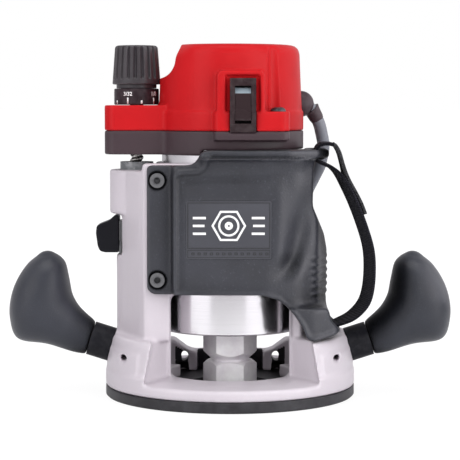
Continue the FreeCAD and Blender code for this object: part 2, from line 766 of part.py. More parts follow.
# ------------------------------------------------------------------- rotor
@piece
def armature_shaft():
    """Shaft with the collet taper, threadless neck and hexagon at its lower end."""
    shaft = revolve([
        (6.45, 31.0), (9.35, 8.0), (9.35, 7.0), (NECK_R - 0.6, 7.0), (NECK_R, 7.6),
        (NECK_R, HEX_Z0 - 3.7), (16.6, HEX_Z0 + 1.0), (16.6, HEX_Z1), (12.2, HEX_Z1),
        (12.2, 45.0), (SHAFT_R, 45.0), (SHAFT_R, 128.0), (SHAFT_MID_R, 128.0),
        (SHAFT_MID_R, 163.0), (SHAFT_TOP_R, 163.0), (SHAFT_TOP_R, 172.6), (0, 172.6),
        (0, 62.0), (6.45, 62.0)])
    return shaft.common(fuse(hexagon(HEX_AF, 0, HEX_Z1), cyl(14.0, 30, 180)))


@piece
def armature_core():
    core = ring(SHAFT_R, 24.2, 80, 120)
    for k in range(12):
        core = core.cut(turned(box(15.0, 26.0, -1.6, 1.6, 79, 121), 30 * k))
    return core


@piece
def armature_windings():
    windings = fuse(ring(SHAFT_R, 21.0, 67.5, 80.0), ring(SHAFT_R, 21.0, 120.0, 133.0))
    for k in range(12):
        windings = windings.fuse(turned(box(15.0, 20.6, -1.6, 1.6, 79.9, 120.1), 30 * k))
    return windings.removeSplitter()


@piece
def commutator():
    body = cut(fuse(cyl(COMM_R, 138.0, 157.0), cyl(15.2, 134.2, 138.0)),
               cyl(SHAFT_MID_R, 130, 160))
    for k in range(18):
        body = body.cut(turned(box(12.1, 16, -0.25, 0.25, 134, 158), 20 * k))
    return body


@piece
def cooling_fan():
    z0 = 61.3
    fan = cyl(13.5, z0, 66.0).fuse(ring(SHAFT_R, 35.5, z0, 62.4))
    blade = box(12.5, 35.2, -0.7, 0.7, 61.5, 65.9)
    blade.rotate(Vector(24, 0, 0), Vector(0, 0, 1), 18)
    for k in range(12):
        fan = fan.fuse(turned(blade, 30 * k))
    return cut(fan.removeSplitter().common(cyl(35.6, 60, 67)), cyl(SHAFT_R, 60, 67))


@piece
def collet():
    body = revolve([(SHANK_R, 3.0), (8.6, 3.0), (9.0, 4.4), (9.0, 8.6), (6.95, 27.0),
                    (SHANK_R, 27.0)])
    for k in range(3):
        body = body.cut(turned(box(0, 12, -0.4, 0.4, 6, 28), 60 + 120 * k))
    return body


@piece
def collet_nut():
    nut = hexagon(HEX_AF, NUT_Z0, NUT_Z1).common(revolve([
        (0, NUT_Z0), (14.6, NUT_Z0), (16.6, 2.9), (16.6, 18.2), (13.9, NUT_Z1), (0, NUT_Z1)]))
    return cut(nut, cyl(NECK_R + 0.06, 6.8, 21), cyl(9.4, 2.7, 7), cyl(7.6, 0, 4))


# ------------------------------------------------------ head: collar and cap
CAP_SCREWS = [(28.2, -39.6), (26.0, 31.5), (-26.0, 31.5)]  # x, y; front one first
CHANNELS = [(27.2, -36.6)] + CAP_SCREWS[1:]  # vertical channels over the screws
CAP_SCREW_R = 1.9
BEZEL_X0, BEZEL_X1, BEZEL_Z0, BEZEL_Z1 = 0.0, 15.2, 160.7, 192.5
BOOT_R = 8.0
BOOT_START = (30.0, 12.1, 177.76)
BOOT_OUT = (0.985, 0.17, -0.02)


def lobe(inset, z0, z1):
    """Left extension of the head, over the column."""
    x, y, radius = -75.4 + inset, 22.0 - inset, 7.0 - inset * 0.6
    return prism_z([(x, -y), (-30, -y), (-30, y), (x, y)], [radius, 0, 0, radius], z0, z1)


def lobe_blends(z0, z1):
    """Concave blends between the round body and the lobe."""
    blends = [
        prism_z([(-41.7, side * 21.0), (-41.7, side * 22.0), (-37.4, side * 24.4),
                 (-28, side * 21.0)], 0, z0, z1).cut(cyl(5.0, z0 - 1, z1 + 1, -41.7, side * 27.0))
        for side in (1, -1)]
    return blends[0].fuse(blends[1])


def front_block(z0, z1):
    """Flat-faced block at the front of the head."""
    return prism_z([(-9.4, -50.0), (35.0, -50.0), (35.0, -30), (-9.4, -30)],
                   [3, 5, 0, 0], z0, z1)


def bezel_hole():
    return box(BEZEL_X0, BEZEL_X1, -60, -46.9, BEZEL_Z0, BEZEL_Z1)


@piece
def motor_collar():
    collar = fuse(
        cyl(HEAD_R, 150.2, SEAM_Z),
        lobe(0, 147.2, SEAM_Z),
        lobe_blends(147.2, SEAM_Z),
        cyl(HEAD_R, 147.0, 150.4).common(box(-50, -17.0, -50, 50, 146, 152)),
        front_block(156.2, SEAM_Z),
    )
    room = fuse(cyl(39.5, 149, SEAM_Z + 1), lobe(3.0, 150.2, SEAM_Z + 1))
    for x, y in CAP_SCREWS[1:]:
        room = room.cut(cyl(4.8, 152.0, SEAM_Z + 2, x, y))
    collar = cut(collar, room, cyl(BARREL_R, 140, MOTOR_Z1), cyl(4.6, 140, 160, COL_X))
    for x, y in CAP_SCREWS:
        collar = collar.cut(cyl(CAP_SCREW_R, 152.5, 170, x, y))
    return collar.cut(bezel_hole())


def cap_shell():
    lower = fuse(
        cyl(HEAD_R, SEAM_Z, LEDGE_Z),
        lobe(0, SEAM_Z, LOBE_Z),
        lobe_blends(SEAM_Z, LEDGE_Z),
        front_block(SEAM_Z, LEDGE_Z),
    )
    upper = revolve([(0, LEDGE_Z - 1), (43.8, LEDGE_Z - 1), (42.3, 207.4), (41.4, 210.5),
                     (39.3, 212.3), (36.6, CAP_Z1), (0, CAP_Z1)])
    switch_hood = prism_y([(-7.6, 172.0), (20.4, 172.0), (20.4, 197.0), (-7.6, 197.0)],
                          [0, 0, 3.5, 3.5], -50.0, -20.0)
    return fuse(lower, upper, switch_hood)


def cap_room():
    """Hollow of the cap, leaving walls round the dial recess and the screw channels."""
    room = fuse(
        revolve([(0, 160), (40.0, 160), (40.0, LEDGE_Z), (39.4, 207.5), (36.0, 210.8),
                 (0, 210.8)]),
        lobe(3.0, 160.0, LEDGE_Z),
    )
    room = cut(
        room,
        cyl(18.2, LEDGE_Z, 200.0, COL_X),
        prism_y([(-60, 190.4), (-31.0, 190.4), (-29.8, 220), (-60, 220)],
                [0, 9.5, 0, 0], -60, 60),
    )
    for x, y in CHANNELS:
        room = room.cut(cyl(7.2, 150, 220, x, y))
    return fuse(room, box(-5.0, 17.8, -45.2, -30, 163.5, 194.4))


@piece
def motor_cap():
    dial_recess = fuse(
        cyl(15.6, LOBE_Z, 195.0, COL_X),
        prism_y([(-60, 193.0), (-33.6, 193.0), (-32.4, 220), (-60, 220)],
                [0, 9.5, 0, 0], -60, 60),
    )
    switch_well = fuse(box(-2.5, 17.5, -60, -47.4, 172.9, 194.3),
                       box(0.5, 14.7, -48.0, -43.0, 164.9, 189.1))
    cap = cut(
        cap_shell(),
        cap_room(),
        dial_recess,
        *[cyl(5.0, LEDGE_Z, 220, x, y) for x, y in CHANNELS],
        bezel_hole(),
        switch_well,
        rod(BOOT_R, BOOT_START, BOOT_OUT, 30),
        cyl(4.6, 170, 180, COL_X),
    )
    for x, y in CAP_SCREWS:
        cap = cap.cut(cyl(CAP_SCREW_R, 150, 180, x, y))
    for k in range(7):  # slots at the back
        z = 183.0 + 3.6 * k
        cap = cap.cut(box(-14, 14, 34, 50, z, z + 1.8))
    return cap


@piece
def cap_screws():
    head = revolve([(0, LEDGE_Z), (4.6, LEDGE_Z), (4.6, 173.7), (4.2, 174.5), (3.2, 175.2),
                    (1.7, 175.6), (0, 175.7)])
    screws = []
    for (x, y), bottom in zip(CAP_SCREWS, (157.5, 153.0, 153.0)):
        screw = fuse(cyl(CAP_SCREW_R, bottom, LEDGE_Z, x, y), head.translated(Vector(x, y, 0)))
        screws.append(cut(screw, cyl(1.7, 174.0, 176, x, y)))
    return Part.Compound(screws)


# ------------------------------------------------------------------ switch
PIVOT_Y, PIVOT_Z = -46.6, 177.0


@piece
def switch_bezel():
    bezel = prism_x([
        (-47.0, BEZEL_Z0), (-50.6, BEZEL_Z0), (-52.6, 166.0), (-53.4, 176.6),
        (-52.6, 187.2), (-50.6, BEZEL_Z1), (-47.0, BEZEL_Z1)],
        [0, 1, 4, 10, 4, 1, 0], BEZEL_X0, BEZEL_X1)
    bezel = fuse(bezel, box(0.6, 14.6, -47.0, -44.0, 165.0, 189.0))
    return cut(bezel, box(2.8, 12.4, -60, -40, 166.0, 188.0),
               rod(1.45, (0.9, PIVOT_Y, PIVOT_Z), ALONG_X, 13.4))


@piece
def switch_rocker():
    # up and forward from the pivot
    outline = [(-6, -3), (-10, 2.6), (-10, 5.2), (-9.2, 5.9), (5.6, 6.6), (9.4, 3.9),
               (10, 2.4), (6, -3)]
    rocker = prism_x([(PIVOT_Y - forward, PIVOT_Z + up) for up, forward in outline],
                     [1, 2, 0.5, 0.6, 0.5, 0.6, 0.4, 1], 3.0, 12.2)
    rocker = fuse(rocker, rod(1.4, (1.2, PIVOT_Y, PIVOT_Z), ALONG_X, 12.8))
    rocker.rotate(Vector(0, PIVOT_Y, PIVOT_Z), Vector(1, 0, 0), -8.0)
    return rocker


@piece
def switch_body():
    """Body with two terminals at the back."""
    return fuse(box(0.8, 14.4, -42.2, -22.0, 166.0, 190.0),
                box(3.0, 4.0, -22.0, -17.0, 170, 176), box(3.0, 4.0, -22.0, -17.0, 180, 186))


# -------------------------------------------------------------------- dial
CLIP_GROOVE_R = 3.4


@piece
def dial_knob():
    knob = revolve([(LEAD_R, 189.2), (14.2, 189.2), (14.6, 189.8), (13.0, 211.8),
                    (12.0, 212.8), (LEAD_R, 212.8)], COL_X)
    for k in range(20):  # flutes leaning in with the taper
        x, y = polar(1, 18 * (k + 0.5))
        knob = knob.cut(rod(1.25, (COL_X + 15.15 * x, 15.15 * y, 192.0),
                            (-0.073 * x, -0.073 * y, 1), 22))
    return fuse(knob, ring(LEAD_R, 12.2, 186.8, 189.3, COL_X),
                ring(LEAD_R, 8.0, 176.9, 187.0, COL_X))


@piece
def dial_scale_ring():
    return revolve([(8.05, 176.95), (13.2, 176.95), (13.6, 177.4), (13.6, 186.2),
                    (13.2, 186.7), (8.05, 186.7)], COL_X)


@piece
def lead_screw():
    screw = revolve([(0, 45.0), (3.3, 45.0), (LEAD_R, 46.2), (LEAD_R, 212.0), (3.6, 212.4),
                     (0, 212.4)], COL_X)
    return cut(screw, ring(CLIP_GROOVE_R, 6, 171.4, 172.6, COL_X),
               box(COL_X - 5, COL_X + 5, -0.6, 0.6, 211.2, 213))


@piece
def dial_retaining_clip():
    return cut(ring(CLIP_GROOVE_R, 7.0, 171.45, 172.55, COL_X),
               box(COL_X - 2.4, COL_X + 2.4, 0, 9, 171, 173))


# ------------------------------------------------------------- cord, plug
CORD_R = 3.9
PLUG_X, PLUG_Y = 44.2, 53.0
# Corners of the cord's path from the cap down to the plug, x, y, z
CORD = [
    (34.0, 12.79, 177.68), (48.6, 15.31, 177.38), (55.4, 18.2, 165.6), (58.8, 23.6, 151.0),
    (56.4, 30.0, 138.5), (49.6, 38.5, 124.0), (45.2, 47.0, 108.0), (PLUG_X, PLUG_Y, 94.4),
    (PLUG_X, PLUG_Y, 84.0),
]


@piece
def power_cord():
    return sweep(CORD, CORD_R)


@piece
def cord_boot():
    boot = fuse(rod(BOOT_R, BOOT_START, BOOT_OUT, 14.0),
                Part.makeSphere(BOOT_R, Vector(43.79, 14.48, 177.48)))
    return cut(boot, sweep([(20.0, 10.37, 177.964)] + CORD[1:3], CORD_R + 0.12))


@piece
def plug_body():
    hole_r = CORD_R + 0.15
    x0, x1, y0, y1 = PLUG_X - 13, PLUG_X + 13, PLUG_Y - 13, PLUG_Y + 13
    plug = fuse(cone(13.0, 5.5, 66.0, 88.0, PLUG_X, PLUG_Y),
                prism_z([(x0, y0), (x1, y0), (x1, y1), (x0, y1)], 8, 62.0, 68.0))
    return cut(plug, cyl(hole_r, 83.8, 92.0, PLUG_X, PLUG_Y),
               cone(hole_r, 5.2, 84.2, 88.1, PLUG_X, PLUG_Y))


@piece
def plug_blades():
    """Two flat blades and a round pin."""
    blades = [box(PLUG_X + x, PLUG_X + x + 1.6, PLUG_Y - 3.2, PLUG_Y + 3.2, 46.0, 62.0)
              for x in (-6.8, 5.2)]
    return Part.Compound([*blades, cyl(2.4, 42.8, 62.0, PLUG_X, PLUG_Y + 8.0)])


for make in PIECES:
    shape = make()
    if len(shape.Solids) == 1:
        shape = shape.Solids[0]
    shape.exportStep("parts/%s.step" % make.__name__)
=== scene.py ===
# A plunge router standing on Z = 0. Its front, with the name plate, faces -Y; the side
# handles reach out along X, and the depth adjustment column stands at -X.
# Shapes are given in millimetres; materials, stage, lights and camera in metres.
import math

import bmesh
import bpy
import numpy as np
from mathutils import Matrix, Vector


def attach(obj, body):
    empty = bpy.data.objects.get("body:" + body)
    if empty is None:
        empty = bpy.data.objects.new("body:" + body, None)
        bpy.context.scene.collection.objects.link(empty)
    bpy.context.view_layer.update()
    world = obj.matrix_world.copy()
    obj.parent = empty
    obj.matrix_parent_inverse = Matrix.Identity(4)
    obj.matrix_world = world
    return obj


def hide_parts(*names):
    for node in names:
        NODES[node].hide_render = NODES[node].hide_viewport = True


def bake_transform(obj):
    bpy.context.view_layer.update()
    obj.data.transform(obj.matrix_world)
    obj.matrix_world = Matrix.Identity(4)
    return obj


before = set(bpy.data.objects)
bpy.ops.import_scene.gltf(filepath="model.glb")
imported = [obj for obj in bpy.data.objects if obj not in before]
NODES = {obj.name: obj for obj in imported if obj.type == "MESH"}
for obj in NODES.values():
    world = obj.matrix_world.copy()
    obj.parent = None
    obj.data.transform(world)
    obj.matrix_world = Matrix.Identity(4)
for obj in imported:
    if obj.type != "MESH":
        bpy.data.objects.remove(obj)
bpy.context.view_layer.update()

MILLI = 0.001
TURN = 2 * math.pi
COLUMN_X = -56.9  # vertical axis of the depth dial, its scale ring and the lead screw


# ============================================================ material builder
def scaled(color, factor, add=0.0):
    return tuple(min(1, c * factor + add) for c in color)


class Mat:
    """Builds a node material; texture coordinates are object space in metres."""

    def __init__(self, name, base=(0.5, 0.5, 0.5), rough=0.5, metal=0.0, spec=0.5, coat=0.0,
                 coat_rough=0.1, sheen=0.0, aniso=0.0):
        self.material = bpy.data.materials.new(name)
        self.material.use_nodes = True
        self.tree = self.material.node_tree
        self.tree.nodes.clear()
        self.output = self.node("ShaderNodeOutputMaterial")
        self.shader = self.node("ShaderNodeBsdfPrincipled")
        self.link(self.shader.outputs[0], self.output.inputs[0])
        self.coords = self.node("ShaderNodeTexCoord").outputs["Object"]
        self.normal = None
        for key, value in {
            "Base Color": base, "Roughness": rough, "Metallic": metal,
            "Specular IOR Level": spec, "Coat Weight": coat, "Coat Roughness": coat_rough,
            "Sheen Weight": sheen, "Anisotropic": aniso,
        }.items():
            self.feed(key, value)

    def node(self, kind, **settings):
        node = self.tree.nodes.new(kind)
        for key, value in settings.items():
            setattr(node, key, value)
        return node

    def link(self, source, target):
        self.tree.links.new(source, target)

    def put(self, target, value):
        """Sets an input from a number or a colour, or links a socket to it."""
        if isinstance(value, (int, float)):
            target.default_value = value
        elif isinstance(value, tuple):
            target.default_value = (*value, 1)
        else:
            self.link(value, target)

    def feed(self, key, value):
        self.put(self.shader.inputs[key], value)

    # ---- textures
    def noise(self, scale, detail=4.0, rough=0.55, vector=None):
        node = self.node("ShaderNodeTexNoise")
        node.inputs["Scale"].default_value = scale
        node.inputs["Detail"].default_value = detail
        node.inputs["Roughness"].default_value = rough
        self.link(vector or self.coords, node.inputs["Vector"])
        return node.outputs["Fac"]

    def streaks(self, scale, detail, rough):
        """Noise with its own scale along each axis."""
        node = self.node("ShaderNodeMapping")
        node.inputs["Scale"].default_value = scale
        self.link(self.coords, node.inputs["Vector"])
        return self.noise(1.0, detail, rough, vector=node.outputs[0])

    def voronoi(self, scale):
        node = self.node("ShaderNodeTexVoronoi", feature="F1")
        node.inputs["Scale"].default_value = scale
        self.link(self.coords, node.inputs["Vector"])
        return node.outputs["Distance"]

    def wave(self, scale, direction="Z", distortion=0.0, kind="BANDS"):
        node = self.node("ShaderNodeTexWave", wave_type=kind, wave_profile="SIN")
        setattr(node, kind.lower() + "_direction", direction)
        node.inputs["Scale"].default_value = scale
        node.inputs["Distortion"].default_value = distortion
        self.link(self.coords, node.inputs["Vector"])
        return node.outputs["Fac"]

    def pointiness(self):
        return self.node("ShaderNodeNewGeometry").outputs["Pointiness"]

    def axis(self, which):
        node = self.node("ShaderNodeSeparateXYZ")
        self.link(self.coords, node.inputs[0])
        return node.outputs["XYZ".index(which)]

    # ---- arithmetic
    def math(self, operation, *values):
        node = self.node("ShaderNodeMath", operation=operation)
        for target, value in zip(node.inputs, values):
            self.put(target, value)
        return node.outputs[0]

    def times(self, first, second):
        return self.math("MULTIPLY", first, second)

    def plus(self, first, second):
        return self.math("ADD", first, second)

    def span(self, value, lo, hi):
        """Maps 0..1 to lo..hi."""
        return self.math("MULTIPLY_ADD", value, hi - lo, lo)

    def ramp(self, value, stops):
        """Grey ramp; stops are (position, grey level)."""
        node = self.node("ShaderNodeValToRGB")
        node.color_ramp.interpolation = "LINEAR"
        elements = node.color_ramp.elements
        while len(elements) < len(stops):
            elements.new(0.5)
        for element, (position, grey) in zip(elements, stops):
            element.position = position
            element.color = (grey, grey, grey, 1)
        self.link(value, node.inputs[0])
        return node.outputs[0]

    def rise(self, value, lo, hi):
        """0 below lo, 1 above hi."""
        return self.ramp(value, [(lo, 0.0), (hi, 1.0)])

    def patches(self, scale, detail, lo, hi, rough=0.55):
        return self.rise(self.noise(scale, detail, rough), lo, hi)

    def edge(self, lo, hi):
        """Mask of the convex edges."""
        return self.rise(self.pointiness(), lo, hi)

    def mix(self, factor, first, second, blend="MIX"):
        node = self.node("ShaderNodeMix", data_type="RGBA", blend_type=blend)
        for i, value in zip((0, 6, 7), (factor, first, second)):
            self.put(node.inputs[i], value)
        return node.outputs[2]

    # ---- surface
    def color(self, value):
        self.feed("Base Color", value)

    def rough_between(self, value, lo, hi):
        self.feed("Roughness", self.span(value, lo, hi))

    def bump(self, height, strength, distance):
        """Adds relief on top of any earlier bump; distance in metres."""
        node = self.node("ShaderNodeBump")
        node.inputs["Strength"].default_value = strength
        node.inputs["Distance"].default_value = distance
        self.link(height, node.inputs["Height"])
        if self.normal is not None:
            self.link(self.normal, node.inputs["Normal"])
        self.normal = node.outputs[0]
        self.feed("Normal", self.normal)


# ================================================================== materials
def plastic(name, base, rough=0.4, grain=1400, grain_strength=0.12, vary=0.1, spec=0.5,
            wear=0.0, wear_color=None):
    """Moulded plastic with fine grain and, when wear is set, rubbed edges."""
    mat = Mat(name, base, rough, spec=spec)
    big = mat.noise(scale=26, detail=3)
    fine = mat.noise(scale=grain, detail=2, rough=0.6)
    dark, light = scaled(base, 1 - vary), scaled(base, 1 + vary)
    color = mat.mix(mat.rise(big, lo=0.35, hi=0.65), dark, light)
    if wear:
        rubbed = mat.times(mat.edge(lo=0.52, hi=0.60),
                           mat.patches(scale=240, detail=4, lo=0.42, hi=0.62))
        color = mat.mix(mat.times(rubbed, wear), color, wear_color or scaled(base, 2, add=0.06))
    mat.color(color)
    mat.rough_between(mat.noise(scale=60, detail=4), rough - 0.07, rough + 0.09)
    mat.bump(fine, grain_strength, distance=0.00012)
    return mat.material


def rubber(name, base, rough, grain, grain_strength, speck, speck_color, spec):
    """Soft moulded rubber with a spark-eroded stipple. Painted shade darkens its hollows, and
    their gloss is cut.
    """
    mat = Mat(name, base, rough, spec=spec, sheen=0.04)
    cells = mat.voronoi(grain)
    coarse = mat.noise(scale=grain * 0.8, detail=3, rough=0.7)
    fine = mat.noise(scale=grain * 2.1, detail=2, rough=0.6)
    height = mat.plus(mat.times(cells, 0.8), mat.times(coarse, 0.8))
    height = mat.plus(height, mat.times(fine, 0.3))
    big = mat.noise(scale=22, detail=3)
    color = mat.mix(mat.rise(big, lo=0.35, hi=0.65), scaled(base, 0.82), scaled(base, 1.22))
    color = mat.mix(mat.times(mat.rise(coarse, lo=0.60, hi=0.74), speck), color, speck_color)
    rubbed = mat.times(mat.edge(lo=0.515, hi=0.56),
                       mat.patches(scale=90, detail=4, lo=0.4, hi=0.65))
    color = mat.mix(mat.times(rubbed, 0.35), color, scaled(base, 1.9, add=0.01))
    # painted shade: an occlusion pass darkens the colour in hollows and cuts the gloss there
    occlusion = mat.node("ShaderNodeAmbientOcclusion", samples=6)
    occlusion.inputs["Distance"].default_value = 0.030
    openness = occlusion.outputs["AO"]
    shade = mat.ramp(openness, [(0.68, 0.10), (0.97, 1.0)])
    mat.color(mat.mix(1.0, color, shade, blend="MULTIPLY"))
    gloss = mat.span(mat.rise(openness, lo=0.70, hi=0.97), spec * 0.10, spec)
    mat.feed("Specular IOR Level", gloss)
    mat.rough_between(mat.noise(scale=120, detail=4), rough - 0.08, rough + 0.10)
    mat.bump(height, grain_strength, distance=0.00016)
    return mat.material


def cast_powder_coat():
    """Pale lilac grey powder coat with fine orange peel, thin on the edges."""
    mat = Mat("cast_powder_coat", (0.565, 0.515, 0.560), rough=0.40, spec=0.55,
              coat=0.12, coat_rough=0.28)
    big = mat.noise(scale=16, detail=4)
    peel = mat.noise(scale=420, detail=4, rough=0.6)
    micro = mat.voronoi(scale=2600)
    color = mat.mix(mat.rise(big, lo=0.3, hi=0.7), (0.545, 0.495, 0.540), (0.590, 0.540, 0.585))
    flake = mat.patches(scale=3400, detail=1, rough=0.5, lo=0.62, hi=0.72)
    color = mat.mix(mat.times(flake, 0.22), color, (0.80, 0.78, 0.82))
    worn = mat.times(mat.edge(lo=0.53, hi=0.60),
                     mat.patches(scale=300, detail=5, lo=0.50, hi=0.64))
    color = mat.mix(mat.times(worn, 0.45), color, (0.74, 0.73, 0.75))
    # painted shade: creases and hollows are darkened towards grey
    hollows = mat.ramp(mat.pointiness(), [(0.40, 1.0), (0.485, 0.0)])
    mat.color(mat.mix(mat.times(hollows, 0.45), color, (0.30, 0.27, 0.29)))
    mat.rough_between(mat.noise(scale=70, detail=4), 0.33, 0.50)
    mat.bump(peel, strength=0.16, distance=0.00018)
    mat.bump(micro, strength=0.10, distance=0.00006)
    return mat.material


def turned(name, base, rough, lines, strength, darkness=0.0):
    """Turned metal: fine tool lines round the axis."""
    mat = Mat(name, base, rough, metal=1.0, aniso=0.35)
    streaks = mat.streaks(scale=(6, 6, lines * 2.2), detail=5, rough=0.65)
    wave = mat.wave(lines, distortion=0.6)
    height = mat.plus(mat.times(streaks, 1.0), mat.times(wave, 0.35))
    mat.color(mat.mix(mat.rise(streaks, lo=0.3, hi=0.7), scaled(base, 0.90 - darkness), base))
    mat.rough_between(mat.patches(scale=40, detail=4, lo=0.3, hi=0.7), rough - 0.03, rough + 0.08)
    mat.bump(height, strength, distance=0.00004)
    return mat.material


def ground(name, base, rough, scratch, metal=1.0):
    """Ground or milled metal with short upright scratches and bright edges."""
    mat = Mat(name, base, rough, metal=metal)
    scratches = mat.streaks(scale=(2600, 2600, 140), detail=4, rough=0.6)
    blotches = mat.noise(scale=70, detail=4)
    color = mat.mix(mat.rise(blotches, lo=0.35, hi=0.68), scaled(base, 0.80), scaled(base, 1.12))
    wear = mat.edge(lo=0.53, hi=0.62)
    mat.color(mat.mix(mat.times(wear, 0.4), color, (0.88, 0.87, 0.86)))
    mat.rough_between(scratches, rough - 0.06, rough + 0.14)
    mat.bump(scratches, 0.16 * scratch, distance=0.00005)
    return mat.material


def strap_webbing():
    """Woven nylon: warp ribs, weft crossings, fuzz."""
    mat = Mat("strap_webbing", (0.006, 0.006, 0.009), rough=0.80, spec=0.06, sheen=0.02)
    warp = mat.wave(scale=330, direction="Y", distortion=0.3)
    weft = mat.wave(scale=300, direction="Z", distortion=0.5)
    fuzz = mat.noise(scale=2600, detail=3, rough=0.7)
    height = mat.plus(mat.times(warp, weft), mat.times(fuzz, 0.5))
    mat.color(mat.mix(mat.rise(height, lo=0.3, hi=1.0), (0.004, 0.004, 0.006),
                      (0.040, 0.038, 0.050)))
    mat.bump(height, strength=0.9, distance=0.0004)
    return mat.material


def strap_pile():
    """Looped pile on the outside of the strap end."""
    mat = Mat("strap_pile", (0.012, 0.012, 0.015), rough=0.85, spec=0.15, sheen=0.10)
    loops = mat.voronoi(scale=1300)
    fuzz = mat.noise(scale=1800, detail=4, rough=0.75)
    height = mat.plus(loops, fuzz)
    mat.color(mat.mix(mat.rise(fuzz, lo=0.48, hi=0.72), (0.008, 0.008, 0.010),
                      (0.12, 0.12, 0.13)))
    mat.bump(height, strength=1.0, distance=0.0007)
    return mat.material


def banded(name, base, rough, lines, distortion, dark, light, strength, distance):
    """Metal layered in bands up Z: windings or laminations."""
    mat = Mat(name, base, rough, metal=0.9)
    bands = mat.wave(lines, distortion=distortion)
    mat.color(mat.mix(bands, dark, light))
    mat.bump(bands, strength, distance)
    return mat.material


def black_oxide_steel():
    mat = Mat("black_oxide_steel", (0.030, 0.030, 0.033), rough=0.34, metal=0.25, spec=0.35)
    blotches = mat.noise(scale=500, detail=4)
    color = mat.mix(mat.rise(blotches, lo=0.4, hi=0.6), (0.018, 0.018, 0.020),
                    (0.05, 0.05, 0.055))
    mat.color(mat.mix(mat.times(mat.edge(lo=0.53, hi=0.6), 0.5), color, (0.22, 0.22, 0.23)))
    mat.rough_between(blotches, 0.28, 0.44)
    mat.bump(blotches, strength=0.2, distance=0.00006)
    return mat.material


def printed(name, base):
    """Pad print, slightly uneven."""
    mat = Mat(name, base, rough=0.45)
    uneven = mat.noise(scale=900, detail=3)
    mat.color(mat.mix(mat.rise(uneven, lo=0.35, hi=0.6), scaled(base, 0.86), base))
    mat.bump(uneven, strength=0.1, distance=0.00003)
    return mat.material


def sub_base_phenolic():
    """Satin black with faint turning marks and sliding scuffs."""
    mat = Mat("sub_base_phenolic", (0.022, 0.022, 0.025), rough=0.36, spec=0.42)
    turning = mat.wave(scale=420, kind="RINGS", distortion=0.2)
    scuffs = mat.noise(scale=90, detail=5, rough=0.7)
    mat.color(mat.mix(mat.rise(scuffs, lo=0.45, hi=0.75), (0.012, 0.011, 0.014),
                      (0.034, 0.033, 0.038)))
    mat.rough_between(scuffs, 0.28, 0.5)
    mat.bump(mat.plus(turning, scuffs), strength=0.12, distance=0.00005)
    return mat.material


